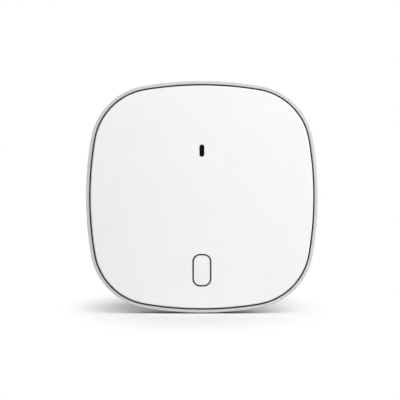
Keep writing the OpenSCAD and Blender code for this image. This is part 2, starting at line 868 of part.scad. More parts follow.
// Meandering aerial on the end of the radio module
module trace_antenna() {
  room = radio_w - 2 * shield_margin;
  step = (room - trace_w) / (trace_bars - 1);
  base = radio_h / 2 - shield_margin - trace_reach;
  color("goldenrod") on_back(radio_at) translate([-room / 2, base, radio_t]) linear_extrude(trace_t) {
    for (i = [0:trace_bars - 1]) translate([i * step, 0]) square([trace_w, trace_reach]);
    for (i = [0:trace_bars - 2])
      translate([i * step, i % 2 == 0 ? trace_reach - trace_w : 0]) square([step + trace_w, trace_w]);
  }
}

// Centre line of the coil antenna: a leg off the board, the turns and a leg back to it
function coil_turn(a) = [-coil_r * cos(a), coil_pitch * a / 360, coil_mid + coil_r * sin(a)];
coil_path = concat(
  [for (i = [0:leg_rings - 1]) [-coil_r, 0, coil_mid * i / leg_rings]],
  [for (i = [0:coil_steps]) coil_turn(coil_last * i / coil_steps)],
  [for (i = [1:leg_rings]) [coil_r, coil_end_y, coil_mid * (1 - i / leg_rings)]]
);
coil_count = len(coil_path);
coil_gap = min([
  for (i = [0:coil_count - 1], j = [i + coil_rings / 2:coil_count - 1])
    if (j < coil_count) norm(coil_path[i] - coil_path[j])
]) - coil_wire;
echo(least_gap_between_coil_turns = coil_gap);

// Rings of a round wire along a path whose direction is never along y
function wire_rings(path, r, sides) = [
  for (i = [0:len(path) - 1])
    let (
      ahead = path[min(i + 1, len(path) - 1)] - path[max(i - 1, 0)],
      t = ahead / norm(ahead),
      across = cross(t, [0, 1, 0]),
      u = across / norm(across),
      v = cross(t, u)
    )
    [for (k = [0:sides - 1]) let (a = 360 * k / sides) path[i] + r * (cos(a) * u + sin(a) * v)]
];

module coil_antenna() {
  color("peru") on_back(coil_at) intersection() {
    stack(wire_rings(coil_path, coil_wire / 2, coil_sides));
    translate([0, coil_end_y / 2, 0]) block([2 * coil_d, coil_end_y + 2 * coil_d, 2 * coil_d]);
  }
}

// A flat chip with a round mark at its first pin
module chip(w, l, h) {
  difference() {
    block([w, l, h]);
    translate([3 * mark_r - w / 2, l / 2 - 3 * mark_r, h - mark_depth])
      cylinder(r = mark_r, h = mark_depth + past);
  }
}

module processor_chip() {
  color([0.1, 0.1, 0.1]) on_back(processor_at) chip(processor_w, processor_w, flat_chip_h);
}

module door_radio_chip() {
  color([0.1, 0.1, 0.1]) on_back(door_radio_at) chip(door_radio_w, door_radio_w, flat_chip_h);
}

module crystal() {
  color("silver") on_back(crystal_at) block([crystal_w, crystal_l, crystal_h]);
}

// Body of a chip with legs, standing a little off the board
module leg_chip_body() {
  translate([0, 0, leg_chip_lift]) chip(leg_chip_w, leg_chip_l, leg_chip_h);
}

// Its legs: each leaves the body at mid height and steps down to the board.
module leg_chip_legs() {
  top = leg_chip_lift + leg_chip_h / 2;
  step = leg_reach / 2;
  for (side = [0, 180], i = [0:leg_count - 1])
    rotate(side) translate([(i - (leg_count - 1) / 2) * leg_pitch + leg_w / 2, leg_chip_l / 2, 0])
      rotate([90, 0, -90]) linear_extrude(leg_w) polygon([
        [0, top], [-step, top], [-step, leg_t], [-leg_reach, leg_t], [-leg_reach, 0],
        [leg_t - step, 0], [leg_t - step, top - leg_t], [0, top - leg_t]
      ]);
}

module memory_chip() {
  color([0.1, 0.1, 0.1]) on_back(memory_at) leg_chip_body();
}

module memory_leads() {
  color("silver") on_back(memory_at) leg_chip_legs();
}

module regulator_body() {
  color([0.1, 0.1, 0.1]) on_back(regulator_at) leg_chip_body();
}

module regulator_leads() {
  color("silver") on_back(regulator_at) leg_chip_legs();
}

module power_inductor() {
  color("dimgray") on_back(inductor_at) pill(inductor_w, inductor_w, inductor_r, 0, inductor_h);
}

// Each capacitor is a can on a square foot.
module capacitor_bases() {
  color([0.1, 0.1, 0.1]) for (at = can_places) on_back(at) block([can_d, can_d, foot_h]);
}

module capacitor_cans() {
  color("silver") for (at = can_places)
    on_back(at) translate([0, 0, foot_h]) cylinder(r = can_d / 2 - fit, h = can_h - foot_h);
}

// Rows of small chip parts, each row started at a place and run along x
module chip_rows(rows) {
  for (at = rows, i = [0:small_count - 1])
    on_back([at.x + i * small_pitch, at.y]) block([small_w, small_l, small_h]);
}

module chip_capacitors() {
  color("tan") chip_rows(capacitor_rows);
}

module chip_resistors() {
  color([0.2, 0.2, 0.22]) chip_rows(resistor_rows);
}

hung() wall_bracket();
hung() rear_housing();
hung() front_cover();
hung() seam_gasket();
hung() case_screws();
hung() main_board();
hung() button_cap();
hung() switch_base();
hung() switch_plate();
hung() switch_leads();
hung() switch_plunger();
hung() led_lens();
hung() light_pipe();
hung() status_leds();
hung() socket_shell();
hung() socket_tongue();
hung() socket_contacts();
hung() sounder_case();
hung() sounder_disc();
hung() sounder_pins();
hung() radio_board();
hung() radio_shield();
hung() radio_chip();
hung() trace_antenna();
hung() coil_antenna();
hung() processor_chip();
hung() door_radio_chip();
hung() memory_chip();
hung() memory_leads();
hung() crystal();
hung() regulator_body();
hung() regulator_leads();
hung() power_inductor();
hung() capacitor_cans();
hung() capacitor_bases();
hung() chip_capacitors();
hung() chip_resistors();
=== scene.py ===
"""Looks of a wall-hung garage door controller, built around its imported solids.

Pieces are modelled in the bench frame: millimetres, x to the right, y up the wall and z out of the wall.
Each finished mesh is then hung upright in the frame that the solids use, in metres.
"""

import logging
import math
from abc import ABC, abstractmethod
from collections.abc import Callable, Iterable, Sequence
from dataclasses import dataclass
from enum import Enum
from functools import cache

import bmesh
import bpy
from bmesh.types import BMEdge, BMesh, BMVert
from bpy.types import Material, Node, NodeSocket, NodeTree, Object
from mathutils import Matrix, Vector


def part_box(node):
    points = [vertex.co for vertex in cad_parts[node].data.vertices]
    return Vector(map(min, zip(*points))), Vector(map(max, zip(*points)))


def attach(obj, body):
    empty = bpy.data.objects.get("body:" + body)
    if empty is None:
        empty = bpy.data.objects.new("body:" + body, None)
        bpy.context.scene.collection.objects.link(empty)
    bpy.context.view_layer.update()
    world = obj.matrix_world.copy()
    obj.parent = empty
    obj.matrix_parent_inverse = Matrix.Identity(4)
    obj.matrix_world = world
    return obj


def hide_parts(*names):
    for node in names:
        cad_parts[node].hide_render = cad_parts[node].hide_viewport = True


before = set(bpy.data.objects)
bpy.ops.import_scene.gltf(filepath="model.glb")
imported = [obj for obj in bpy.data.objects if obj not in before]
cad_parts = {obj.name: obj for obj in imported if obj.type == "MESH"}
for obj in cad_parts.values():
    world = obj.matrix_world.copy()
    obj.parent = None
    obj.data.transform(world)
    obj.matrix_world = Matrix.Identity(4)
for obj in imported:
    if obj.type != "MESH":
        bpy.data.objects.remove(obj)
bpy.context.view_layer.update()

LOG = logging.getLogger("controller")
MM = 0.001
HUNG = Matrix.Rotation(math.pi / 2, 4, "X") @ Matrix.Scale(MM, 4)

# Edges past SHARP_ANGLE are shaded sharp, those past SQUARE_ANGLE get rounded, and FLAT_ANGLE counts as flat.
SHARP_ANGLE = math.radians(32)
SQUARE_ANGLE = math.radians(60)
FLAT_ANGLE = math.radians(0.5)

# Millimetres: points closer than WELD merge, tools reach PAST a face, and solids to be joined overlap by FIT.
WELD = 0.0005
PAST = 1.0
FIT = 0.05

# Straight stretches in a full turn, in a corner of a rounded rectangle and across a softened edge.
ROUND_STEPS = 48
CORNER_STEPS = 10
SOFT_STEPS = 3

# Levels that most of a noise lies between, and refractive indices.
NOISE_LOW = 0.3
NOISE_HIGH = 0.7
PLASTIC_IOR = 1.5
CLEAR_IOR = 1.49

# A colour mix node numbers its sockets by data type.
MIX_COLOURS = (6, 7)
MIX_RESULT = 2

Point = tuple[float, float]
Triple = tuple[float, float, float]
Colour = Triple


class Body(Enum):
    """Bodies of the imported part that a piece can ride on."""

    BRACKET = "bracket"
    HUB = "hub"
    BUTTON = "button"
    PLUNGER = "plunger"


class Side(Enum):
    """Sides of the board, as the way that their parts point."""

    FRONT = 1
    BACK = -1


class Join(Enum):
    """Ways to combine a workpiece with a tool."""

    ADD = "UNION"
    CUT = "DIFFERENCE"


def bench_box(node: str) -> tuple[Vector, Vector]:
    """Finds where a solid is.

    Args:
        node: Name of the solid's node.

    Returns:
        Its lowest and highest corner at rest, in the bench frame.
    """
    low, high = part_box(node)
    return Vector((low.x, low.z, -high.y)) / MM, Vector((high.x, high.z, -low.y)) / MM


def wire(bm: BMesh, points: Iterable[Vector]) -> list[BMVert]:
    """Draws an open line.

    Args:
        bm: Mesh to draw in.
        points: Corners of the line.

    Returns:
        The line's vertices.
    """
    verts = [bm.verts.new(point) for point in points]
    for start, end in zip(verts, verts[1:]):
        bm.edges.new((start, end))
    return verts


def round_corner(bm: BMesh, corner: BMVert, radius: float, segments: int) -> None:
    """Rounds one corner of a wire or of a flat face.

    Args:
        bm: Mesh that holds the corner.
        corner: Vertex to round.
        radius: Radius of a square corner's arc.
        segments: Number of straight stretches in the arc.
    """
    bmesh.ops.bevel(bm, geom=[corner], offset=radius, offset_type="OFFSET", affect="VERTICES",
                    segments=segments, profile=0.5, material=-1)


def bevel_edges(bm: BMesh, edges: Sequence[BMEdge], width: float, segments: int) -> None:
    """Rounds edges.

    Args:
        bm: Mesh that holds the edges.
        edges: Edges to round.
        width: Width of the rounding on each face.
        segments: Number of faces across the rounding.
    """
    bmesh.ops.bevel(bm, geom=list(edges), offset=width, offset_type="OFFSET", affect="EDGES",
                    segments=segments, profile=0.5, material=-1, clamp_overlap=True)


def round_square(bm: BMesh, width: float, segments: int) -> None:
    """Rounds every square edge of a mesh."""
    square = [edge for edge in bm.edges if edge.calc_face_angle() > SQUARE_ANGLE]
    bevel_edges(bm, square, width, segments)


def split_across(bm: BMesh, place: Sequence[float], normal: Triple) -> None:
    """Splits every face of a mesh that a plane crosses."""
    bmesh.ops.bisect_plane(bm, geom=[*bm.verts, *bm.edges, *bm.faces], plane_co=place, plane_no=normal)


def rim(bm: BMesh, z: float) -> list[BMEdge]:
    """Lists the open edges of a mesh at one height."""
    return [edge for edge in bm.edges
            if edge.is_boundary and all(abs(vert.co.z - z) < WELD for vert in edge.verts)]


def close_rim(bm: BMesh, z: float) -> None:
    """Closes the open edges of a mesh at one height with a flat face."""
    bmesh.ops.edgeloop_fill(bm, edges=rim(bm, z))


def slab(bm: BMesh, low: Sequence[float], high: Sequence[float]) -> None:
    """Adds a block.

    Args:
        bm: Mesh to add to.
        low: Lowest corner of the block.
        high: Highest corner of it.
    """
    verts = bmesh.ops.create_cube(bm, size=1.0)["verts"]
    size = Vector(high) - Vector(low)
    bmesh.ops.scale(bm, vec=size, verts=verts)
    bmesh.ops.translate(bm, vec=Vector(low) + size / 2, verts=verts)


def lathe(bm: BMesh, profile: Iterable[Point], at: Point) -> None:
    """Turns a closed solid about an upright axis.

    Args:
        bm: Mesh to add to.
        profile: Radius and height of each corner, from the axis round to the axis.
        at: Place of the axis.
    """
    centre = Vector((*at, 0.0))
    verts = wire(bm, [centre + Vector((radius, 0.0, z)) for radius, z in profile])
    edges = dict.fromkeys(edge for vert in verts for edge in vert.link_edges)
    bmesh.ops.spin(bm, geom=[*verts, *edges], cent=centre, axis=(0, 0, 1), angle=2 * math.pi,
                   steps=ROUND_STEPS, use_merge=True)


def hole(radius: float, mouth: float, end: float, flare: float) -> list[Point]:
    """Draws the profile of a round hole.

    Args:
        radius: Radius of the hole.
        mouth: Height of the face that the hole starts in.
        end: Height where the hole ends.
        flare: Width of the chamfer around the mouth.

    Returns:
        Radius and height of each corner, for lathe().
    """
    way = math.copysign(1.0, end - mouth)
    wide = radius + flare
    outside = mouth - way * PAST
    return [(0.0, outside), (wide, outside), (wide, mouth), (radius, mouth + way * flare),
            (radius, end), (0.0, end)]


def rod(radius: float, low: float, high: float) -> list[Point]:
    """Draws the profile of a plain round rod between two heights, for lathe()."""
    return [(0.0, low), (radius, low), (radius, high), (0.0, high)]


def corners(offset: float) -> list[Point]:
    """Lists the four places of the case screws."""
    return [(sx * offset, sy * offset) for sx in (-1, 1) for sy in (-1, 1)]


def solid(name: str, bm: BMesh) -> Object:
    """Turns a finished bmesh into an object in the bench frame.

    Args:
        name: Name of the object.
        bm: Closed mesh, which is freed.

    Returns:
        The new object.
    """
    bmesh.ops.remove_doubles(bm, verts=bm.verts, dist=WELD)
    bmesh.ops.recalc_face_normals(bm, faces=bm.faces)
    mesh = bpy.data.meshes.new(name)
    bm.to_mesh(mesh)
    bm.free()
    made = bpy.data.objects.new(name, mesh)
    bpy.context.scene.collection.objects.link(made)
    return made


def block(name: str, low: Sequence[float], high: Sequence[float]) -> Object:
    """Makes a block.

    Args:
        name: Name of the object.
        low: Lowest corner of the block.
        high: Highest corner of it.

    Returns:
        The new object.
    """
    bm = bmesh.new()
    slab(bm, low, high)
    return solid(name, bm)


def turned(name: str, profile: Sequence[Point], places: Iterable[Point]) -> Object:
    """Turns the same round solid at several places.

    Args:
        name: Name of the object.
        profile: Radius and height of each corner, from the axis round to the axis.
        places: Places of the axes.

    Returns:
        The new object, with all the solids in it.
    """
    bm = bmesh.new()
    for at in places:
        lathe(bm, profile, at)
    return solid(name, bm)


def combine(target: Object, tool: Object, join: Join) -> None:
    """Adds a tool to a workpiece, or cuts it away, and removes the tool.

    Args:
        target: Workpiece, which gets the new mesh.
        tool: Closed solid in the same frame.
        join: What is done with the tool.
    """
    step = target.modifiers.new("step", "BOOLEAN")
    step.object = tool
    step.operation = join.value
    step.solver = "EXACT"
    depsgraph = bpy.context.evaluated_depsgraph_get()
    old = target.data
    shaped = bpy.data.meshes.new_from_object(target.evaluated_get(depsgraph))
    target.modifiers.clear()
    target.data = shaped
    shaped.name = old.name
    bpy.data.meshes.remove(old)
    spent = tool.data
    bpy.data.objects.remove(tool)
    bpy.data.meshes.remove(spent)


def soften(target: Object, chosen: Callable[[BMEdge], bool], width: float) -> None:
    """Rounds the sharp edges of a workpiece that a test picks.

    Args:
        target: Workpiece in the bench frame.
        chosen: Test of one edge.
        width: Width of the rounding on each face.
    """
    bm = bmesh.new()
    bm.from_mesh(target.data)
    edges = [edge for edge in bm.edges
             if edge.is_manifold and edge.calc_face_angle() > SHARP_ANGLE and chosen(edge)]
    bevel_edges(bm, edges, width, SOFT_STEPS)
    bm.to_mesh(target.data)
    bm.free()


def keep_flats(made: Object) -> None:
    """Lets the flat faces of a workpiece keep their own shading beside its rounded edges."""
    made.modifiers.new("flats", "WEIGHTED_NORMAL").keep_sharp = True


class Shader:
    """A node material under construction, with one Principled surface."""

    def __init__(self, name: str) -> None:
        """Starts the material.

        Args:
            name: Name of the material.
        """
        self.material: Material = bpy.data.materials.new(name)
        self.material.use_nodes = True
        self.tree = self.material.node_tree
        self.surface = self.tree.nodes["Principled BSDF"]
        self.place: NodeSocket = self.add("ShaderNodeTexCoord").outputs["Object"]

    def add(self, kind: str, **settings: object) -> Node:
        """Adds a node.

        Args:
            kind: Blender's name of the node type.
            **settings: Properties of the node.

        Returns:
            The new node.
        """
        node = self.tree.nodes.new(kind)
        for key, value in settings.items():
            setattr(node, key, value)
        return node

    def feed(self, node: Node, **inputs: object) -> Node:
        """Sets or links a node's inputs.

        Args:
            node: Node whose inputs are fed.
            **inputs: Values, or sockets to link, by the input's name with _ for a space.

        Returns:
            The same node.
        """
        for key, value in inputs.items():
            socket = node.inputs[key.replace("_", " ")]
            if isinstance(value, NodeSocket):
                self.tree.links.new(value, socket)
            else:
                socket.default_value = value
        return node

    def set(self, **inputs: object) -> None:
        """Sets or links inputs of the Principled surface."""
        self.feed(self.surface, **inputs)

    def mapped(self, stretch: Triple = (1, 1, 1), turn: Triple = (0, 0, 0),
               start: Triple = (0, 0, 0)) -> NodeSocket:
        """Places a pattern on the piece.

        Args:
            stretch: Scale of the coordinates along each axis.
            turn: Turn about each axis, in degrees.
            start: Shift of the coordinates, in metres.

        Returns:
            The mapped coordinates.
        """
        turned = [math.radians(angle) for angle in turn]
        node = self.feed(self.add("ShaderNodeMapping"), Vector=self.place, Scale=stretch, Rotation=turned,
                         Location=start)
        return node.outputs["Vector"]

    def noise(self, size: float, detail: float = 3.0, along: NodeSocket | None = None) -> NodeSocket:
        """Adds a soft random pattern.

        Args:
            size: Size of its blotches, in millimetres.
            detail: Levels of finer detail.
            along: Coordinates, or the object's own.

        Returns:
            Its value, from 0 to 1.
        """
        node = self.feed(self.add("ShaderNodeTexNoise"), Vector=along or self.place, Scale=1 / (size * MM),
                         Detail=detail)
        return node.outputs["Fac"]

    def cells(self, size: float, along: NodeSocket, output: str = "Distance") -> NodeSocket:
        """Adds a pattern of cells.

        Args:
            size: Size of a cell, in millimetres.
            along: Coordinates.
            output: Name of the output to take.

        Returns:
            That output.
        """
        node = self.feed(self.add("ShaderNodeTexVoronoi"), Vector=along, Scale=1 / (size * MM))
        return node.outputs[output]

    def spread(self, value: NodeSocket, low: float, high: float, start: float = 0.0,
               end: float = 1.0) -> NodeSocket:
        """Maps a value to another range.

        Args:
            value: Value to map.
            low: Result at the start of the value's range, and below it.
            high: Result at the end of that range, and above it.
            start: Start of the value's range.
            end: End of the value's range.

        Returns:
            The mapped value.
        """
        node = self.feed(self.add("ShaderNodeMapRange"), Value=value, From_Min=start, From_Max=end,
                         To_Min=low, To_Max=high)
        return node.outputs["Result"]

    def ramp(self, value: NodeSocket, start: float, end: float) -> NodeSocket:
        """Gives 0 where a value is at its start, 1 where it is at its end, and what lies between them."""
        return self.spread(value, 0.0, 1.0, start, end)

    def along_axis(self, axis: str) -> NodeSocket:
        """Gives one coordinate of the place on the piece, in metres."""
        return self.feed(self.add("ShaderNodeSeparateXYZ"), Vector=self.place).outputs[axis]

    def mixed(self, share: NodeSocket, first: Colour | NodeSocket, second: Colour | NodeSocket) -> NodeSocket:
        """Mixes two colours.

        Args:
            share: Share of the second colour.
            first: Colour, or socket that gives it.
            second: The other colour, or its socket.

        Returns:
            The mixed colour.
        """
        node = self.add("ShaderNodeMix", data_type="RGBA")
        self.tree.links.new(share, node.inputs["Factor"])
        for number, value in zip(MIX_COLOURS, (first, second)):
            socket = node.inputs[number]
            if isinstance(value, NodeSocket):
                self.tree.links.new(value, socket)
            else:
                socket.default_value = (*value, 1.0)
        return node.outputs[MIX_RESULT]

    def bump(self, height: NodeSocket, depth: float, under: NodeSocket | None = None) -> NodeSocket:
        """Raises a surface by a pattern.

        Args:
            height: Pattern, from 0 to 1.
            depth: Height of its full range, in millimetres.
            under: Normal of a coarser bump below it.

        Returns:
            The bumped normal.
        """
        node = self.feed(self.add("ShaderNodeBump"), Height=height, Distance=depth * MM)
        if under is not None:
            self.feed(node, Normal=under)
        return node.outputs["Normal"]


def shade(colour: Colour, share: float) -> Colour:
    """Darkens or lightens a colour by a share."""
    return tuple(channel * share for channel in colour)


class Finish(ABC):
    """A finish that dresses a piece."""

    name: str

    @abstractmethod
    def paint(self, shader: Shader) -> None:
        """Builds the finish's nodes.

        Args:
            shader: Material to add to.
        """

    @cache
    def material(self) -> Material:
        """Gives the finish's material.

        Returns:
            The material, which is made once and shared.
        """
        shader = Shader(self.name)
        self.paint(shader)
        return shader.material


@dataclass(frozen=True)
class MouldedPlastic(Finish):
    """Moulded plastic with a fine tool texture and faint flow marks."""

    name: str
    colour: Colour
    roughness: float
    grain: float
    depth: float
    mottle: float = 0.02
    flow: float = 9.0
    rough_range: float = 0.06

    def tone(self, shader: Shader, flow: NodeSocket) -> NodeSocket:
        """Mixes the colour along the flow marks."""
        broad = shader.ramp(flow, NOISE_LOW, NOISE_HIGH)
        return shader.mixed(broad, shade(self.colour, 1 - self.mottle), self.colour)

    def paint(self, shader: Shader) -> None:
        """Builds the finish's nodes.

        Args:
            shader: Material to add to.
        """
        grain = shader.noise(self.grain)
        flow = shader.noise(self.flow)
        tone = self.tone(shader, flow)
        rough = shader.spread(grain, self.roughness - self.rough_range, self.roughness + self.rough_range,
                              NOISE_LOW, NOISE_HIGH)
        waves = shader.bump(flow, self.depth)
        shader.set(Base_Color=tone, Roughness=rough, Normal=shader.bump(grain, self.depth, waves),
                   IOR=PLASTIC_IOR)


@dataclass(frozen=True)
class PaintedPlastic(MouldedPlastic):
    """Dark moulded plastic that is painted from a height above the wall outwards. Below the paint's edge the
    plastic is dark: partly the unpainted plastic, partly painted shade in the gap round the button.
    """

    # Dark colour below the paint's edge: the unpainted plastic, and painted shade in the gap round the
    # button.
    under: Colour = (0.05, 0.05, 0.05)
    painted_z: float = 0.0
    fade: float = 0.2

    def tone(self, shader: Shader, flow: NodeSocket) -> NodeSocket:
        """Mixes the paint's colour with the dark unpainted plastic's below the paint's edge, which also
        serves as painted shade in the gap round the button.

        Args:
            shader: Material to add to.
            flow: Pattern of the flow marks.

        Returns:
            The mixed colour.
        """
        depth = shader.along_axis("Y")
        # 0 on the painted face, 1 below the paint's edge, where the dark colour is also painted shade in the
        # button's gap.
        unpainted_and_gap_shade = shader.ramp(depth, -self.painted_z * MM, (self.fade - self.painted_z) * MM)
        return shader.mixed(unpainted_and_gap_shade, super().tone(shader, flow), self.under)


@dataclass(frozen=True)
class RubbedPlastic(Finish):
    """Moulded plastic with faint polished streaks where another piece slides along it."""

    name: str
    colour: Colour
    roughness: float
    grain: float = 0.3
    depth: float = 0.006
    streak: float = 1.2
    streak_run: Triple = (1.0, 1.0, 0.04)
    worn: Point = (0.52, 0.7)
    paler: float = 1.03
    polish: float = 0.08

    def paint(self, shader: Shader) -> None:
        """Builds the finish's nodes.

        Args:
            shader: Material to add to.
        """
        grain = shader.noise(self.grain)
        streaks = shader.noise(self.streak, 4.0, shader.mapped(stretch=self.streak_run))
        worn = shader.ramp(streaks, *self.worn)
        tone = shader.mixed(worn, self.colour, shade(self.colour, self.paler))
        rough = shader.spread(worn, self.roughness, self.roughness - self.polish)
        shader.set(Base_Color=tone, Roughness=rough, Normal=shader.bump(grain, self.depth), IOR=PLASTIC_IOR)


@dataclass(frozen=True)
class SmokedLens(Finish):
    """Dark polished lens, painted a little lighter in the middle of the slit and darker towards its sides, as
    painted light and shade.
    """

    name: str
    colour: Colour
    # Lighter colour in the middle of the slit: painted light.
    lit_core: Colour
    half: float
    haze: float = 0.4
    roughness: Point = (0.1, 0.2)
    gloss: float = 0.04

    def paint(self, shader: Shader) -> None:
        """Builds the finish's nodes.

        Args:
            shader: Material to add to.
        """
        # Painted light and shade across the slit: lighter in the middle, darker towards the sides.
        across = shader.along_axis("X")
        off = shader.feed(shader.add("ShaderNodeMath", operation="ABSOLUTE"), Value=across).outputs["Value"]
        edge = shader.ramp(off, 0.0, self.half * MM)
        rough = shader.spread(shader.noise(self.haze), *self.roughness, NOISE_LOW, NOISE_HIGH)
        shader.set(Base_Color=shader.mixed(edge, self.lit_core, self.colour), Roughness=rough,
                   Specular_IOR_Level=self.gloss, IOR=CLEAR_IOR)


@dataclass(frozen=True)
class Rubber(Finish):
    """Soft dark rubber with a dusty skin."""

    name: str
    colour: Colour
    dust: float = 0.5
    dusty: Point = (0.45, 0.75)
    paler: float = 1.6
    roughness: Point = (0.75, 0.92)
    depth: float = 0.01

    def paint(self, shader: Shader) -> None:
        """Builds the finish's nodes.

        Args:
            shader: Material to add to.
        """
        dust = shader.noise(self.dust, 4.0)
        tone = shader.mixed(shader.ramp(dust, *self.dusty), self.colour, shade(self.colour, self.paler))
        rough = shader.spread(dust, *self.roughness)
        shader.set(Base_Color=tone, Roughness=rough, Normal=shader.bump(dust, self.depth))


@dataclass(frozen=True)
class Metal(Finish):
    """Drawn, plated or stamped metal with fine lines along one direction."""

    name: str
    colour: Colour
    roughness: float
    lines: Triple = (1.0, 0.12, 1.0)
    tarnish: float = 0.12
    line_w: float = 0.12
    stain: float = 1.6
    stained: Point = (0.4, 0.75)
    smoother: float = 0.08
    rougher: float = 0.1
    depth: float = 0.002

    def paint(self, shader: Shader) -> None:
        """Builds the finish's nodes.

        Args:
            shader: Material to add to.
        """
        lines = shader.noise(self.line_w, 4.0, shader.mapped(stretch=self.lines))
        dull = shader.ramp(shader.noise(self.stain), *self.stained)
        tone = shader.mixed(dull, self.colour, shade(self.colour, 1 - self.tarnish))
        rough = shader.spread(lines, self.roughness - self.smoother, self.roughness + self.rougher,
                              NOISE_LOW, NOISE_HIGH)
        shader.set(Base_Color=tone, Roughness=rough, Normal=shader.bump(lines, self.depth), Metallic=1.0)


@dataclass(frozen=True)
class EnamelledWire(Finish):
    """Copper wire under clear enamel."""

    name: str
    colour: Colour
    run: float = 0.6
    thick: Point = (0.35, 0.7)
    darker: float = 0.72
    roughness: Point = (0.25, 0.38)
    enamel: float = 0.8
    enamel_rough: float = 0.08

    def paint(self, shader: Shader) -> None:
        """Builds the finish's nodes.

        Args:
            shader: Material to add to.
        """
        runs = shader.noise(self.run)
        tone = shader.mixed(shader.ramp(runs, *self.thick), self.colour, shade(self.colour, self.darker))
        rough = shader.spread(runs, *self.roughness)
        shader.set(Base_Color=tone, Roughness=rough, Metallic=1.0, Coat_Weight=self.enamel,
                   Coat_Roughness=self.enamel_rough)


@dataclass(frozen=True)
class SolderMask(Finish):
    """Lacquered circuit board whose copper tracks show through the lacquer."""

    name: str
    colour: Colour
    track: Colour
    pitch: float = 0.9
    patch: float = 9.0
    patch_border: Point = (0.49, 0.51)
    track_edge: Point = (0.62, 0.7)
    track_t: float = 0.03
    via: Colour = (0.62, 0.5, 0.24)
    via_pitch: float = 2.6
    via_edge: Point = (0.1, 0.13)
    haze: float = 0.8
    roughness: Point = (0.28, 0.42)
    lacquer: float = 0.4
    lacquer_rough: float = 0.2

    def paint(self, shader: Shader) -> None:
        """Builds the finish's nodes.

        Args:
            shader: Material to add to.
        """
        flat = shader.mapped(turn=(-90, 0, 0))
        bands = []
        for turn in (0, 90):
            along = shader.mapped(turn=(-90, 0, turn))
            wave = shader.feed(shader.add("ShaderNodeTexWave"), Vector=along,
                               Scale=0.5 / (self.pitch * MM) / math.pi)
            bands.append(wave.outputs["Fac"])
        side = shader.ramp(shader.cells(self.patch, flat, "Color"), *self.patch_border)
        tracks = shader.ramp(shader.mixed(side, *bands), *self.track_edge)
        via = shader.spread(shader.cells(self.via_pitch, flat), 1.0, 0.0, *self.via_edge)
        tone = shader.mixed(via, shader.mixed(tracks, self.colour, self.track), self.via)
        rough = shader.spread(shader.noise(self.haze), *self.roughness)
        shader.set(Base_Color=tone, Roughness=rough, Normal=shader.bump(tracks, self.track_t),
                   Coat_Weight=self.lacquer, Coat_Roughness=self.lacquer_rough)


@dataclass(frozen=True)
class FilledResin(Finish):
    """Filled resin or ceramic with fine grains of another tone."""

    name: str
    colour: Colour
    fleck: Colour
    roughness: float
    grain: float = 0.12
    flecked: Point = (0.45, 0.72)
    rough_range: float = 0.07
    depth: float = 0.008

    def paint(self, shader: Shader) -> None:
        """Builds the finish's nodes.

        Args:
            shader: Material to add to.
        """
        grain = shader.noise(self.grain, 4.0)
        tone = shader.mixed(shader.ramp(grain, *self.flecked), self.colour, self.fleck)
        rough = shader.spread(grain, self.roughness - self.rough_range, self.roughness + self.rough_range,
                              NOISE_LOW, NOISE_HIGH)
        shader.set(Base_Color=tone, Roughness=rough, Normal=shader.bump(grain, self.depth))


@dataclass(frozen=True)
class ClearPlastic(Finish):
    """Clear moulded plastic with a slight haze."""

    name: str
    tint: Colour
    haze: float
    swirl: float = 1.1
    darker: float = 0.94
    haze_range: float = 0.1
    clear: float = 0.85

    def paint(self, shader: Shader) -> None:
        """Builds the finish's nodes.

        Args:
            shader: Material to add to.
        """
        swirl = shader.noise(self.swirl)
        tone = shader.mixed(swirl, self.tint, shade(self.tint, self.darker))
        rough = shader.spread(swirl, self.haze, self.haze + self.haze_range)
        shader.set(Base_Color=tone, Roughness=rough, Transmission_Weight=self.clear, IOR=CLEAR_IOR)


COVER_PLASTIC = MouldedPlastic("cover_plastic", (0.9, 0.9, 0.9), 0.4, 0.16, 0.0015, 0.012)
# The button's sides below painted_z get the dark under colour, which also stands as painted shade in the gap
# round the button.
BUTTON_PLASTIC = PaintedPlastic("button_plastic", (0.89, 0.89, 0.89), 0.36, 0.16, 0.0012, 0.012, 5.0,
                                painted_z=20.6)
HOUSING_PLASTIC = MouldedPlastic("housing_plastic", (0.62, 0.62, 0.62), 0.5, 0.26, 0.006, 0.04)
BRACKET_PLASTIC = RubbedPlastic("bracket_plastic", (0.5, 0.5, 0.505), 0.52)
GASKET_RUBBER = Rubber("gasket_rubber", (0.012, 0.012, 0.013))
# The lens is painted a little lighter in its middle than at its sides, as painted light in the slit.
LENS_PLASTIC = SmokedLens("lens_plastic", (0.002, 0.002, 0.002), (0.005, 0.005, 0.005), 0.75)
CLEAR_PLASTIC = ClearPlastic("clear_plastic", (0.93, 0.95, 0.96), 0.12)
LAMP_BASE = MouldedPlastic("lamp_base", (0.8, 0.8, 0.78), 0.45, 0.15, 0.003, 0.06)
LAMP_RESIN = FilledResin("lamp_resin", (0.85, 0.78, 0.42), (0.92, 0.88, 0.6), 0.35, 0.25)
SCREW_STEEL = Metal("screw_steel", (0.62, 0.62, 0.6), 0.32)
TINNED_STEEL = Metal("tinned_steel", (0.68, 0.68, 0.67), 0.3, (1.0, 1.0, 0.1))
GOLD_PLATE = Metal("gold_plate", (0.95, 0.68, 0.28), 0.25, (1.0, 1.0, 0.1), 0.2)
SOUNDER_BRASS = Metal("sounder_brass", (0.78, 0.57, 0.25), 0.34, (1.0, 1.0, 1.0), 0.25)
COIL_WIRE = EnamelledWire("coil_wire", (0.72, 0.32, 0.14))
BOARD_LAMINATE = SolderMask("board_laminate", (0.012, 0.11, 0.035), (0.03, 0.2, 0.06))
RADIO_LAMINATE = SolderMask("radio_laminate", (0.008, 0.05, 0.03), (0.02, 0.1, 0.055), 0.7, 5.0)
BLACK_PLASTIC = MouldedPlastic("black_plastic", (0.022, 0.022, 0.024), 0.5, 0.2, 0.006, 0.2)
PLUNGER_PLASTIC = MouldedPlastic("plunger_plastic", (0.78, 0.72, 0.6), 0.45, 0.15, 0.003, 0.06)
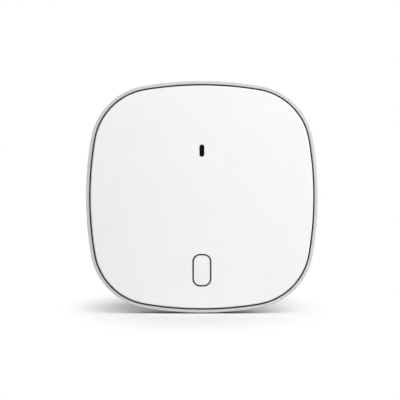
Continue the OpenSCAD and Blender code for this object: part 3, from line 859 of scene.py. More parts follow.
CHIP_RESIN = FilledResin("chip_resin", (0.02, 0.02, 0.022), (0.055, 0.055, 0.06), 0.55)
FERRITE = FilledResin("ferrite", (0.05, 0.05, 0.055), (0.11, 0.11, 0.115), 0.7, 0.22)
CAN_ALUMINIUM = Metal("can_aluminium", (0.78, 0.79, 0.8), 0.28, (1.0, 0.1, 1.0), 0.08)
CAPACITOR_CERAMIC = FilledResin("capacitor_ceramic", (0.45, 0.3, 0.17), (0.56, 0.4, 0.25), 0.5, 0.2)


def fit_piece(made: Object, finishes: Sequence[Finish], body: Body, slot: str, node: str) -> None:
    """Hangs a finished workpiece in the frame, dresses it and lets it stand for its solid.

    Args:
        made: Workpiece in the bench frame.
        finishes: Its finishes, as its faces number them.
        body: Body that it rides on.
        slot: The record's material slot; not used.
        node: Solid that it stands for.
    """
    mesh = made.data
    mesh.transform(HUNG)
    numbers = [face.material_index for face in mesh.polygons]
    mesh.materials.clear()
    for finish in finishes:
        mesh.materials.append(finish.material())
    mesh.polygons.foreach_set("material_index", numbers)
    mesh.polygons.foreach_set("use_smooth", [True] * len(mesh.polygons))
    mesh.set_sharp_from_angle(angle=SHARP_ANGLE)
    mesh.update()
    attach(made, body.value)
    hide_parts(node)
    LOG.info("%s: %d faces, rides on %s", made.name, len(mesh.polygons), body.value)


@dataclass(frozen=True)
class Outline:
    """Rounded square of four shallow side arcs and four corner arcs that meet smoothly."""

    half: float
    side_r: float = 112.0
    corner_r: float = 21.0
    side_steps: int = 10
    corner_steps: int = 22

    @property
    def side_back(self) -> float:
        """Distance of a side arc's centre behind the middle of the case."""
        return self.side_r - self.half

    @property
    def corner_c(self) -> float:
        """Distance of a corner arc's centre from each middle line."""
        apart = self.side_r - self.corner_r
        return (math.sqrt(2 * apart**2 - self.side_back**2) - self.side_back) / 2

    @property
    def side_angle(self) -> float:
        """Half of the angle that a side arc spans."""
        return math.atan2(self.corner_c, self.corner_c + self.side_back)

    def profile(self, bm: BMesh, points: Iterable[Point]) -> list[BMVert]:
        """Draws a profile at the middle of the right side, given as insets from the outline and heights."""
        return wire(bm, [Vector((self.half - inset, 0.0, z)) for inset, z in points])

    def sweep(self, bm: BMesh) -> None:
        """Carries a profile all the way round the outline.

        Args:
            bm: Mesh that holds the profile and nothing else.
        """
        back, c, angle = self.side_back, self.corner_c, self.side_angle
        ahead = [*bm.verts, *bm.edges]
        for quarter in range(4):
            turn = Matrix.Rotation(quarter * math.pi / 2, 3, "Z")
            arcs = (
                (Vector((-back, 0, 0)), angle, self.side_steps),
                (Vector((c, c, 0)), math.pi / 2 - 2 * angle, self.corner_steps),
                (Vector((0, -back, 0)), angle, self.side_steps),
            )
            for centre, span, steps in arcs:
                swept = bmesh.ops.spin(bm, geom=ahead, cent=turn @ centre, axis=(0, 0, 1), angle=span,
                                       steps=steps)
                ahead = swept["geom_last"]
        bmesh.ops.remove_doubles(bm, verts=bm.verts, dist=WELD)

    def reach(self, x: float, y: float, inset: float) -> float:
        """Measures how far the outline is from its middle.

        Args:
            x: First coordinate of a point near the middle line of the top or bottom side.
            y: Second coordinate of that point.
            inset: Inset of the outline.

        Returns:
            Distance along the point's direction.
        """
        angle = math.atan2(abs(x), abs(y))
        aside, behind = self.side_back * math.sin(angle), self.side_back * math.cos(angle)
        return math.sqrt((self.side_r - inset) ** 2 - aside**2) - behind


@dataclass(frozen=True)
class Case:
    """Sizes that the cover, the housing and what shows between them share."""

    outline: Outline
    back_z: float
    lip_z: float
    ledge_z: float
    gasket_z: float
    board_z: float
    top_z: float
    lip_w: float
    cover_inset: float
    skirt_t: float = 1.5
    cover_rise: float = 0.7
    face_t: float = 2.0
    edge_r: float = 0.5
    crown: float = 0.5

    @classmethod
    def from_frame(cls) -> "Case":
        """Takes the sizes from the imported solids.

        Returns:
            The case, as it was packed.
        """
        housing_low, housing_high = bench_box("rear_housing")
        gasket_low, gasket_high = bench_box("seam_gasket")
        cover_high = bench_box("front_cover")[1]
        return cls(
            outline=Outline(half=housing_high.x),
            back_z=housing_low.z,
            lip_z=housing_high.z,
            ledge_z=gasket_low.z,
            gasket_z=gasket_high.z,
            board_z=bench_box("main_board")[0].z,
            top_z=cover_high.z,
            lip_w=housing_high.x - gasket_high.x - FIT,
            cover_inset=housing_high.x - cover_high.x,
        )

    @property
    def skirt_inset(self) -> float:
        """Inset of the inner face of the cover's skirt."""
        return self.cover_inset + self.skirt_t

    @property
    def edge_inset(self) -> float:
        """Inset where the cover's face begins."""
        return self.cover_inset + self.edge_r

    @property
    def edge_z(self) -> float:
        """Height of the face at its edge."""
        return self.lip_z + self.cover_rise

    @property
    def inner_z(self) -> float:
        """Height of the inner side of the face."""
        return self.edge_z - self.face_t

    def crowned(self, share: float) -> float:
        """Gives the height of the face at a share of the way from its middle to its edge."""
        return min(self.edge_z + self.crown * (1 - share**2), self.top_z)

    def face_z(self, x: float, y: float) -> float:
        """Gives the height of the face at a point near its upright middle line."""
        return self.crowned(math.hypot(x, y) / self.outline.reach(x, y, self.edge_inset))


@dataclass(frozen=True)
class Ring:
    """One rounded rectangle of a loft, at a height, or at a height above the cover's face."""

    width: float
    height: float
    radius: float
    z: float
    on_face: bool = False


def grown(ring: Ring, by: float, z: float, on_face: bool = False) -> Ring:
    """Offsets a ring outwards at another height."""
    return Ring(ring.width + 2 * by, ring.height + 2 * by, ring.radius + by, z, on_face)


@dataclass(frozen=True)
class Stand:
    """Place on the face's upright middle line where solids of rounded rectangles stand."""

    case: Case
    at_y: float

    def loft(self, name: str, rings: Sequence[Ring]) -> Object:
        """Joins rounded rectangles into a closed solid.

        Args:
            name: Name of the object.
            rings: Rounded rectangles, from the back to the front.

        Returns:
            The new object.
        """
        bm = bmesh.new()
        loops = []
        for number, ring in enumerate(rings):
            verts = bmesh.ops.create_grid(bm, x_segments=1, y_segments=1, size=0.5)["verts"]
            face = verts[0].link_faces[0]
            bmesh.ops.scale(bm, vec=(ring.width, ring.height, 1), verts=verts)
            bmesh.ops.translate(bm, vec=(0, self.at_y, ring.z), verts=verts)
            before = set(bm.faces) - {face}
            bmesh.ops.bevel(bm, geom=verts, offset=ring.radius, offset_type="OFFSET", affect="VERTICES",
                            segments=CORNER_STEPS, profile=0.5, material=-1)
            face = next(iter(set(bm.faces) - before))
            if ring.on_face:
                for vert in face.verts:
                    vert.co.z += self.case.face_z(vert.co.x, vert.co.y)
            loops.append(face.edges[:])
            if 0 < number < len(rings) - 1:
                bmesh.ops.delete(bm, geom=[face], context="FACES_ONLY")
        for lower, upper in zip(loops, loops[1:]):
            bmesh.ops.bridge_loops(bm, edges=[*lower, *upper])
        return solid(name, bm)

    def fill(self, name: str, ring: Ring, low: float, high: float) -> Object:
        """Makes a straight solid of one ring between two heights."""
        return self.loft(name, [grown(ring, 0, low), grown(ring, 0, high)])

    def opening(self, name: str, ring: Ring) -> Object:
        """Makes the tool that cuts a ring through the cover's face."""
        return self.fill(name, ring, self.case.inner_z - PAST, self.case.top_z + PAST)


@dataclass
class PushButton:
    """Upright pill button, flush with the face, with a flange behind it and a stem to the switch."""

    case: Case
    width: float = 5.7
    height: float = 10.1
    radius: float = 2.3
    gap: float = 0.52
    edge_r: float = 0.15
    edge_steps: int = 4
    collar_gap: float = 0.25
    collar_t: float = 1.0
    collar_h: float = 1.9
    flange_t: float = 1.0
    stem_r: float = 1.5

    def __post_init__(self) -> None:
        """Takes the button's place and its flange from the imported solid."""
        low, high = bench_box("button_cap")
        self.stand = Stand(self.case, (low.y + high.y) / 2)
        self.stem_z = low.z
        size = high - low
        flange_w = (size.x - self.width - self.gap) / 2
        self.pill = Ring(self.width, self.height, self.radius, 0.0)
        self.flange = Ring(size.x, size.y, self.radius + self.gap / 2 + flange_w, 0.0)
        self.flange_z = bench_box("led_lens")[0].z - FIT

    def opening(self) -> Object:
        """Makes the tool that cuts the button's opening in the cover."""
        return self.stand.opening("button_opening", grown(self.pill, self.gap / 2, 0.0))

    def collar(self) -> Object:
        """Makes the collar that guides the flange behind the cover.

        Returns:
            The collar, which reaches a little into the cover.
        """
        root = self.case.inner_z + FIT
        foot = self.case.inner_z - self.collar_h
        outer = grown(self.flange, self.collar_gap + self.collar_t, 0.0)
        inner = grown(self.flange, self.collar_gap, 0.0)
        made = self.stand.fill("button_collar", outer, foot, root)
        combine(made, self.stand.fill("collar_room", inner, foot - PAST, root + PAST), Join.CUT)
        return made

    def build(self) -> None:
        """Models the button and fits it."""
        cap = grown(self.pill, -self.gap / 2, 0.0)
        within = self.flange_z + self.flange_t / 2
        rings = [grown(cap, 0, within)]
        for step in range(self.edge_steps + 1):
            angle = math.pi / 2 * step / self.edge_steps
            inset, drop = self.edge_r * (1 - math.cos(angle)), self.edge_r * (1 - math.sin(angle))
            rings.append(grown(cap, -inset, -drop, True))
        made = self.stand.fill("button", self.flange, self.flange_z, self.flange_z + self.flange_t)
        combine(made, self.stand.loft("button_face", rings), Join.ADD)
        stem = turned("button_stem", rod(self.stem_r, self.stem_z, within), [(0, self.stand.at_y)])
        combine(made, stem, Join.ADD)
        fit_piece(made, (BUTTON_PLASTIC,), Body.BUTTON, "button_plastic", "button_cap")


@dataclass
class StatusLens:
    """Dark upright slit lens with a flange behind the cover."""

    case: Case
    width: float = 1.6
    height: float = 4.0
    flange_t: float = 1.0
    sink: float = 0.05
    end_flat: float = 0.02

    def __post_init__(self) -> None:
        """Takes the lens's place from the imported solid."""
        low, high = bench_box("led_lens")
        self.stand = Stand(self.case, (low.y + high.y) / 2)
        self.back_z = low.z
        size = high - low
        self.slit = Ring(self.width, self.height, self.width / 2 - self.end_flat, 0.0)
        self.flange = Ring(size.x, size.y, size.x / 2 - self.end_flat, 0.0)

    def opening(self) -> Object:
        """Makes the tool that cuts the slit in the cover."""
        return self.stand.opening("slit_opening", self.slit)

    def build(self) -> None:
        """Models the lens and fits it."""
        front = self.back_z + self.flange_t
        body = grown(self.slit, -FIT, 0.0)
        rings = [grown(self.flange, 0, self.back_z), grown(self.flange, 0, front), grown(body, 0, front),
                 grown(body, 0, -2 * self.sink, True), grown(body, -self.sink, -self.sink, True)]
        made = self.stand.loft("status_lens", rings)
        fit_piece(made, (LENS_PLASTIC,), Body.HUB, "lens_plastic", "led_lens")


@dataclass
class FrontCover:
    """White front cover: skirt, rounded edge, crowned face, screw bosses and the button's collar."""

    case: Case
    button: PushButton
    lens: StatusLens
    screw_xy: float
    edge_steps: int = 8
    crown_steps: int = 24
    flat_share: float = 0.2
    boss_r: float = 3.05
    pilot_r: float = 1.05
    pilot_end: float = 3.5
    pilot_flare: float = 0.2
    mouth_r: float = 0.06
    mouth_rise: float = 0.1

    def shell(self) -> Object:
        """Sweeps the skirt and the rounded edge round the outline and closes them with the crowned face.

        Returns:
            The cover without its bosses and openings.
        """
        case = self.case
        bm = bmesh.new()
        line = case.outline.profile(bm, [
            (case.skirt_inset, case.inner_z),
            (case.skirt_inset, case.gasket_z),
            (case.cover_inset, case.gasket_z),
            (case.cover_inset, case.edge_z),
            (case.edge_inset, case.edge_z),
        ])
        round_corner(bm, line[3], case.edge_r - WELD, self.edge_steps)
        case.outline.sweep(bm)
        close_rim(bm, case.inner_z)
        self.crown(bm)
        return solid("front_cover_shell", bm)

    def crown(self, bm: BMesh) -> None:
        """Draws the face in from its edge in steps, each a little higher.

        Args:
            bm: Mesh whose open top edge is the edge of the face.
        """
        case = self.case
        ahead = rim(bm, case.edge_z)
        share, z = 1.0, case.edge_z
        for step in range(1, self.crown_steps + 1):
            new_share = 1 - (1 - self.flat_share) * step / self.crown_steps
            new_z = case.crowned(new_share)
            made = bmesh.ops.extrude_edge_only(bm, edges=ahead)["geom"]
            verts = [item for item in made if isinstance(item, BMVert)]
            ahead = [item for item in made if isinstance(item, BMEdge) and item.is_boundary]
            ratio = new_share / share
            bmesh.ops.scale(bm, vec=(ratio, ratio, 1), verts=verts)
            bmesh.ops.translate(bm, vec=(0, 0, new_z - z), verts=verts)
            share, z = new_share, new_z
        bmesh.ops.edgeloop_fill(bm, edges=ahead)

    def build(self) -> None:
        """Models the cover, with its drilled screw bosses, and fits it."""
        made = self.shell()
        places = corners(self.screw_xy)
        foot = bench_box("main_board")[1].z
        bosses = turned("cover_bosses", rod(self.boss_r, foot, self.case.inner_z + FIT), places)
        pilot = hole(self.pilot_r, foot, foot + self.pilot_end, self.pilot_flare)
        combine(made, bosses, Join.ADD)
        combine(made, self.button.collar(), Join.ADD)
        for tool in (turned("boss_pilots", pilot, places), self.button.opening(), self.lens.opening()):
            combine(made, tool, Join.CUT)
        soften(made, self.is_mouth, self.mouth_r)
        made.name = "cover"
        fit_piece(made, (COVER_PLASTIC,), Body.HUB, "cover_plastic", "front_cover")

    def is_mouth(self, edge: BMEdge) -> bool:
        """Tells whether an edge runs round an opening in the face."""
        return all(vert.co.z > self.case.edge_z + self.mouth_rise for vert in edge.verts)


@dataclass
class RearHousing:
    """Grey rear housing: rounded back, lip, ledge, rail channel, screw wells, plug recess and sound holes."""

    case: Case
    screw_xy: float
    back_r: float = 8.0
    back_steps: int = 14
    lip_r: float = 0.2
    lip_steps: int = 5
    lip_bevel: float = 0.1
    wall: float = 2.0
    ledge_t: float = 2.2
    channel_half: float = 17.2
    neck_half: float = 14.2
    channel_top: float = 19.2
    runner_t: float = 1.4
    channel_roof: float = 5.0
    pocket_t: float = 1.8
    tower_r: float = 3.25
    well_r: float = 2.25
    seat_z: float = 7.8
    shank_r: float = 1.25
    plug_w: float = 11.8
    plug_h: float = 7.0
    plug_r: float = 1.6
    plug_steps: int = 8
    recess_depth: float = 4.6
    recess_t: float = 1.2
    window_gap: float = 0.3
    sound_holes: int = 5
    sound_r: float = 0.8
    sound_pitch: float = 3.2
    sound_inset: float = 11.4
    flare: float = 0.2
    edge_r: float = 0.25
    mouth_reach: float = 1.0

    @property
    def below(self) -> float:
        """Height well below the case, where tools that are open downwards end."""
        return -2 * self.case.outline.half

    def form(self) -> Object:
        """Sweeps the outer form: rounded back edge, straight side and rounded lip.

        Returns:
            The form, still solid.
        """
        case = self.case
        bm = bmesh.new()
        line = case.outline.profile(bm, [
            (2 * self.back_r, case.back_z), (0, case.back_z), (0, case.lip_z), (case.lip_w, case.lip_z),
        ])
        round_corner(bm, line[1], self.back_r, self.back_steps)
        lip = max(bm.verts, key=lambda vert: (vert.co.z, vert.co.x))
        round_corner(bm, lip, self.lip_r, self.lip_steps)
        case.outline.sweep(bm)
        close_rim(bm, case.back_z)
        close_rim(bm, case.lip_z)
        return solid("rear_housing_form", bm)

    def space(self) -> Object:
        """Sweeps the space inside: one wall inside the form, narrowed by the ledge, with the cover's rebate.

        Returns:
            The space, around the walls that stand in it.
        """
        case = self.case
        floor = case.back_z + self.wall
        ledge_low = case.ledge_z - self.ledge_t
        bm = bmesh.new()
        line = case.outline.profile(bm, [
            (2 * self.back_r, floor),
            (self.wall, floor),
            (self.wall, ledge_low),
            (case.skirt_inset, ledge_low),
            (case.skirt_inset, case.ledge_z),
            (case.lip_w, case.ledge_z),
            (case.lip_w, case.lip_z - self.lip_bevel),
            (case.lip_w - self.lip_bevel, case.lip_z),
            (case.lip_w - self.lip_bevel, case.lip_z + PAST),
        ])
        round_corner(bm, line[1], self.back_r - self.wall, self.back_steps)
        case.outline.sweep(bm)
        close_rim(bm, floor)
        close_rim(bm, case.lip_z + PAST)
        made = solid("rear_housing_space", bm)
        for tool in self.fittings():
            combine(made, tool, Join.CUT)
        return made

    def recess(self, grow: float, floor_shift: float, end_y: float, top_z: float) -> Object:
        """Makes the block of the plug's recess.

        Args:
            grow: Wall around the recess, or 0.
            floor_shift: Distance that its floor is moved up.
            end_y: Lower end of the block.
            top_z: Height where the block is cut flat.

        Returns:
            The block, with round corners along its length.
        """
        floor_y = self.recess_depth - self.case.outline.half + floor_shift
        mid_z = self.socket_mid_z
        half_w, half_h = self.plug_w / 2 + grow, self.plug_h / 2 + grow
        bm = bmesh.new()
        slab(bm, (-half_w, end_y, mid_z - half_h), (half_w, floor_y, min(mid_z + half_h, top_z)))
        along = [edge for edge in bm.edges
                 if abs(edge.verts[0].co.y - edge.verts[1].co.y) > WELD
                 and max(vert.co.z for vert in edge.verts) < top_z - WELD]
        bevel_edges(bm, along, self.plug_r + grow, self.plug_steps)
        return solid("plug_recess", bm)

    @property
    def socket_mid_z(self) -> float:
        """Height of the socket's middle."""
        low, high = bench_box("socket_shell")
        return (low.z + high.z) / 2

    def fittings(self) -> list[Object]:
        """Makes the walls that stand inside.

        Returns:
            The rail's pocket, the screw towers and the block around the plug's recess.
        """
        half = self.channel_half + self.pocket_t
        pocket = block("rail_pocket", (-half, self.below, 0),
                       (half, self.channel_top + self.pocket_t, self.channel_roof + self.pocket_t))
        towers = turned("screw_towers", rod(self.tower_r, 0, self.case.board_z), corners(self.screw_xy))
        around = self.recess(self.recess_t, self.recess_t, self.below, self.case.ledge_z)
        return [pocket, towers, around]

    def cuts(self) -> list[Object]:
        """Makes the tools that cut the housing.

        Returns:
            The rail's channel and neck, the plug's recess, the socket's window, the wells and sound holes.
        """
        runner_z = self.case.back_z + self.runner_t
        channel = block("rail_channel", (-self.channel_half, self.below, runner_z),
                        (self.channel_half, self.channel_top, self.channel_roof))
        neck = block("rail_neck", (-self.neck_half, self.below, self.case.back_z - PAST),
                     (self.neck_half, self.channel_top, runner_z + self.pocket_t))
        socket_low, socket_high = bench_box("socket_shell")
        gap = Vector((self.window_gap, PAST, self.window_gap))
        window = block("socket_window", socket_low - gap, socket_high + gap)
        recess = self.recess(0, 0, self.below, math.inf)
        return [channel, neck, recess, window, self.wells(), self.sound_row()]

    def wells(self) -> Object:
        """Makes the tool that drills the four screw wells from the back.

        Returns:
            The wells with their seats and shank holes.
        """
        profile = hole(self.well_r, self.case.back_z, self.seat_z, self.flare)[:-1]
        profile += rod(self.shank_r, self.seat_z, self.case.board_z + PAST)[1:]
        return turned("screw_wells", profile, corners(self.screw_xy))

    def sound_row(self) -> Object:
        """Makes the tool that drills the row of sound holes.

        Returns:
            The holes, side by side.
        """
        back = self.case.back_z
        y = self.case.outline.half - self.sound_inset
        first = (1 - self.sound_holes) / 2
        places = [((first + number) * self.sound_pitch, y) for number in range(self.sound_holes)]
        return turned("sound_holes", hole(self.sound_r, back, back + self.wall + PAST, self.flare), places)

    def is_slot_edge(self, edge: BMEdge) -> bool:
        """Picks the edges along the outer side of the neck's slot.

        Args:
            edge: Sharp edge of the housing.

        Returns:
            Whether it is one of them.
        """
        ends = [vert.co for vert in edge.verts]
        beside = all(abs(abs(end.x) - self.neck_half) < FIT for end in ends)
        above = all(abs(end.y - self.channel_top) < FIT and abs(end.x) < self.neck_half + FIT for end in ends)
        outside = min(end.z for end in ends) < self.case.back_z + self.runner_t - FIT
        return (beside or above) and outside and abs(ends[0].z - ends[1].z) < self.runner_t - FIT

    def is_recess_mouth(self, edge: BMEdge) -> bool:
        """Picks the edges round the mouth of the plug's recess.

        Args:
            edge: Sharp edge of the housing.

        Returns:
            Whether it is one of them.
        """
        return all(vert.co.y < self.mouth_reach - self.case.outline.half
                   and abs(vert.co.x) < self.plug_w / 2 + FIT
                   and abs(vert.co.z - self.socket_mid_z) < self.plug_h / 2 + FIT for vert in edge.verts)

    def build(self) -> None:
        """Models the housing and fits it."""
        made = self.form()
        combine(made, self.space(), Join.CUT)
        for tool in self.cuts():
            combine(made, tool, Join.CUT)
        soften(made, self.is_slot_edge, self.edge_r)
        soften(made, self.is_recess_mouth, self.edge_r)
        made.name = "housing"
        fit_piece(made, (HOUSING_PLASTIC,), Body.HUB, "housing_plastic", "rear_housing")


@dataclass
class WallBracket:
    """Bracket on the wall: a narrow neck under a wide rail, two countersunk holes and a springy tongue."""

    neck_w: float = 28.0
    neck_t: float = 2.6
    corner_r: float = 3.0
    corner_steps: int = 10
    edge_r: float = 0.3
    edge_steps: int = 3
    hole_y: float = 12.0
    hole_r: float = 2.25
    sink_r: float = 4.2
    tongue_w: float = 9.0
    tongue_l: float = 9.0
    slot_w: float = 1.2

    def __post_init__(self) -> None:
        """Takes the rail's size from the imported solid."""
        low, high = bench_box("wall_bracket")
        self.rail_w, self.height, self.rail_z = high.x - low.x, high.y - low.y, high.z

    def plate(self, name: str, width: float, low: float, high: float) -> Object:
        """Makes a plate with round corners and softened edges.

        Args:
            name: Name of the object.
            width: Width of the plate.
            low: Height of its back.
            high: Height of its front.

        Returns:
            The plate, as tall as the bracket.
        """
        bm = bmesh.new()
        slab(bm, (-width / 2, -self.height / 2, low), (width / 2, self.height / 2, high))
        upright = [edge for edge in bm.edges if abs(edge.verts[0].co.z - edge.verts[1].co.z) > WELD]
        bevel_edges(bm, upright, self.corner_r, self.corner_steps)
        round_square(bm, self.edge_r, self.edge_steps)
        return solid(name, bm)

    def holes(self) -> Object:
        """Makes the tool that drills and countersinks the two wall screw holes.

        Returns:
            Both holes.
        """
        sink = self.sink_r - self.hole_r
        profile = [(0, -PAST), (self.hole_r, -PAST), (self.hole_r, self.rail_z - sink),
                   (self.sink_r + PAST, self.rail_z + PAST), (0, self.rail_z + PAST)]
        return turned("wall_holes", profile, [(0, -self.hole_y), (0, self.hole_y)])

    def slots(self) -> list[Object]:
        """Makes the tools that cut the slot on three sides of the tongue.

        Returns:
            The left, the right and the upper side of the slot.
        """
        half, end = self.tongue_w / 2, self.tongue_l / 2
        outer, top, mid = half + self.slot_w, end + self.slot_w, half + self.slot_w / 2
        sides = (((-outer, -end), (-half, top)), ((half, -end), (outer, top)), ((-mid, end), (mid, top)))
        return [block("tongue_slot", (*low, -PAST), (*high, self.rail_z + PAST)) for low, high in sides]

    def build(self) -> None:
        """Models the bracket and fits it."""
        made = self.plate("bracket", self.rail_w, self.neck_t, self.rail_z)
        combine(made, self.plate("bracket_neck", self.neck_w, 0.0, self.neck_t + self.edge_r), Join.ADD)
        for tool in (self.holes(), *self.slots()):
            combine(made, tool, Join.CUT)
        fit_piece(made, (BRACKET_PLASTIC,), Body.BRACKET, "bracket_plastic", "wall_bracket")


@dataclass
class CaseScrews:
    """Four pan-head screws with a cross in the head, driven from the back into the cover's bosses."""

    head_r: float = 1.9
    head_h: float = 1.3
    dome: float = 0.5
    dome_steps: int = 5
    shank_r: float = 1.0
    root_r: float = 0.72
    plain: float = 1.2
    pitch: float = 0.5
    root_span: Point = (0.4, 0.6)
    point: float = 0.8
    tip_r: float = 0.24
    cross_l: float = 2.2
    cross_w: float = 0.5
    cross_depth: float = 0.75
    cross_taper: float = 0.7

    def __post_init__(self) -> None:
        """Takes the screws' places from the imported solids."""
        low, high = bench_box("case_screws")
        self.head_z, self.tip_z = low.z, high.z
        self.xy = high.x - self.head_r

    def profile(self) -> list[Point]:
        """Draws half of a screw, from its head to its point.

        Returns:
            Radius and height of each corner, for lathe().
        """
        line = [(0.0, self.head_z)]
        for step in range(self.dome_steps + 1):
            angle = math.pi / 2 * step / self.dome_steps
            line.append((self.head_r - self.dome * (1 - math.sin(angle)),
                         self.head_z + self.dome * (1 - math.cos(angle))))
        seat = self.head_z + self.head_h
        line += [(self.head_r, seat), (self.shank_r, seat), (self.shank_r, seat + self.plain)]
        z = seat + self.plain
        while z < self.tip_z - self.point - self.pitch:
            line += [(self.root_r, z + self.pitch * share) for share in self.root_span]
            line.append((self.shank_r, z + self.pitch))
            z += self.pitch
        return [*line, (self.root_r, self.tip_z - self.point), (self.tip_r, self.tip_z), (0.0, self.tip_z)]

    def bars(self, size: Point) -> Object:
        """Makes the tool that cuts one bar of the cross in every head.

        Args:
            size: Width and height of a bar.

        Returns:
            The bars, which narrow inwards.
        """
        bm = bmesh.new()
        for x, y in corners(self.xy):
            low = Vector((x - size[0] / 2, y - size[1] / 2, self.head_z - PAST))
            high = Vector((x + size[0] / 2, y + size[1] / 2, self.head_z + self.cross_depth))
            before = set(bm.verts)
            slab(bm, low, high)
            deep = [vert for vert in bm.verts if vert not in before and vert.co.z > self.head_z]
            bmesh.ops.scale(bm, vec=(self.cross_taper, self.cross_taper, 1), verts=deep,
                            space=Matrix.Translation((-x, -y, 0)))
        return solid("cross_bars", bm)

    def build(self) -> None:
        """Models the screws and fits them."""
        made = turned("screws", self.profile(), corners(self.xy))
        for size in ((self.cross_l, self.cross_w), (self.cross_w, self.cross_l)):
            combine(made, self.bars(size), Join.CUT)
        fit_piece(made, (SCREW_STEEL,), Body.HUB, "screw_steel", "case_screws")


def bench_mesh(node: str) -> BMesh:
    """Copies a solid's mesh into the bench frame.

    Args:
        node: Name of the solid's node.

    Returns:
        The copy, with its seams merged and its flat faces whole.
    """
    bm = bmesh.new()
    bm.from_mesh(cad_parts[node].data)
    bmesh.ops.transform(bm, matrix=HUNG.inverted(), verts=bm.verts)
    bmesh.ops.remove_doubles(bm, verts=bm.verts, dist=WELD)
    bmesh.ops.dissolve_limit(bm, angle_limit=FLAT_ANGLE, verts=bm.verts, edges=bm.edges)
    return bm


def loose_boxes(node: str) -> list[tuple[Vector, Vector]]:
    """Finds the separate parts of a solid.

    Args:
        node: Name of the solid's node.

    Returns:
        Lowest and highest corner of each part at rest, in the bench frame.
    """
    bm = bench_mesh(node)
    boxes = []
    seen: set[BMVert] = set()
    for start in bm.verts:
        if start in seen:
            continue
        group = fresh = {start}
        while fresh:
            fresh = {edge.other_vert(vert) for vert in fresh for edge in vert.link_edges} - group
            group = group | fresh
        seen |= group
        spans = [[vert.co[axis] for vert in group] for axis in range(3)]
        boxes.append((Vector(map(min, spans)), Vector(map(max, spans))))
    bm.free()
    return boxes


@dataclass(frozen=True)
class BoardPart(ABC):
    """A kind of part on the board, modelled at each place where its solid stands.

    Most parts sit on the board's back, so that their tops are at low z.
    """

    name: str
    node: str
    slot: str
    finishes: tuple[Finish, ...]
    edge: float = 0.05
    edge_steps: int = 2

    @abstractmethod
    def shape(self, bm: BMesh, low: Vector, high: Vector) -> None:
        """Models one part.

        Args:
            bm: Empty mesh to model in.
            low: Lowest corner of the part's place.
            high: Highest corner of it.
        """

    def cuts(self, low: Vector, high: Vector) -> list[Object]:
        """Makes the tools that cut one part.

        Args:
            low: Lowest corner of the part's place.
            high: Highest corner of it.

        Returns:
            The tools, or none.
        """
        return []

    def round_edges(self, bm: BMesh) -> None:
        """Rounds every square edge."""
        round_square(bm, self.edge, self.edge_steps)

    def build(self) -> None:
        """Models the parts as one piece and fits it."""
        boxes = loose_boxes(self.node)
        whole = bmesh.new()
        for low, high in boxes:
            bm = bmesh.new()
            self.shape(bm, low, high)
            mesh = bpy.data.meshes.new(self.name)
            bm.to_mesh(mesh)
            bm.free()
            whole.from_mesh(mesh)
            bpy.data.meshes.remove(mesh)
        made = solid(self.name, whole)
        for low, high in boxes:
            for tool in self.cuts(low, high):
                combine(made, tool, Join.CUT)
        keep_flats(made)
        fit_piece(made, self.finishes, Body.HUB, self.slot, self.node)


@dataclass(frozen=True)
class ChipPart(BoardPart):
    """Small ceramic block between two metal ends that stand a little proud of it."""

    edge: float = 0.02
    end: float = 0.35
    step: float = 0.04

    def shape(self, bm: BMesh, low: Vector, high: Vector) -> None:
        """Models one part.

        Args:
            bm: Empty mesh to model in.
            low: Lowest corner of the part's place.
            high: Highest corner of it.
        """
        slab(bm, low, high)
        middle, half = (low + high) / 2, (high - low) / 2
        body = half.y - self.end
        for reach in (-body, self.step - body, body - self.step, body):
            split_across(bm, (0, middle.y + reach, 0), (0, 1, 0))
        inner = [vert for vert in bm.verts if abs(vert.co.y - middle.y) < body - self.step / 2]
        bmesh.ops.scale(bm, vec=(1 - self.step / half.x, 1, 1 - self.step / half.z), verts=inner,
                        space=Matrix.Translation(-middle))
        self.round_edges(bm)
        for face in bm.faces:
            face.material_index = int(abs(face.calc_center_median().y - middle.y) > body - self.step)


@dataclass(frozen=True)
class ChipPackage(BoardPart):
    """Moulded chip package with slanted sides and a round mark at its first pin."""

    draft: float = 0.08
    mark_r: float = 0.3
    mark_inset: float = 3.0
    mark_depth: float = 0.1
    mark_flare: float = 0.03

    def shape(self, bm: BMesh, low: Vector, high: Vector) -> None:
        """Models one part.

        Args:
            bm: Empty mesh to model in.
            low: Lowest corner of the part's place.
            high: Highest corner of it.
        """
        slab(bm, low, high)
        middle, half = (low + high) / 2, (high - low) / 2
        split_across(bm, middle, (0, 0, 1))
        ends = [vert for vert in bm.verts if abs(vert.co.z - middle.z) > half.z / 2]
        bmesh.ops.scale(bm, vec=(1 - self.draft / half.x, 1 - self.draft / half.y, 1), verts=ends,
                        space=Matrix.Translation(-middle))
        self.round_edges(bm)

    def cuts(self, low: Vector, high: Vector) -> list[Object]:
        """Makes the tool that cuts the mark.

        Args:
            low: Lowest corner of the part's place.
            high: Highest corner of it.

        Returns:
            The tool.
        """
        inset = self.mark_inset * self.mark_r
        mark = hole(self.mark_r, low.z, low.z + self.mark_depth, self.mark_flare)
        return [turned("first_pin_mark", mark, [(low.x + inset, high.y - inset)])]


@dataclass(frozen=True)
class LiddedPart(BoardPart):
    """Block whose raised lid or lens, set in from its sides, has a finish of its own."""

    side: Side = Side.BACK
    lid: float = 0.55
    ledge: float = 0.15
    slant: float = 0.04

    def shape(self, bm: BMesh, low: Vector, high: Vector) -> None:
        """Models one part.

        Args:
            bm: Empty mesh to model in.
            low: Lowest corner of the part's place.
            high: Highest corner of it.
        """
        way = self.side.value
        lift = self.lid * (high.z - low.z)
        slab(bm, low, high)
        top = max(bm.faces, key=lambda face: way * face.calc_center_median().z)
        bmesh.ops.translate(bm, vec=(0, 0, -way * lift), verts=top.verts)
        ledge_z = top.calc_center_median().z
        for inset, rise in ((self.ledge, 0.0), (self.slant, lift)):
            bmesh.ops.inset_region(bm, faces=[top], thickness=inset, depth=rise, use_even_offset=True)
        self.round_edges(bm)
        for face in bm.faces:
            face.material_index = int(way * (face.calc_center_median().z - ledge_z) > self.edge / 2)


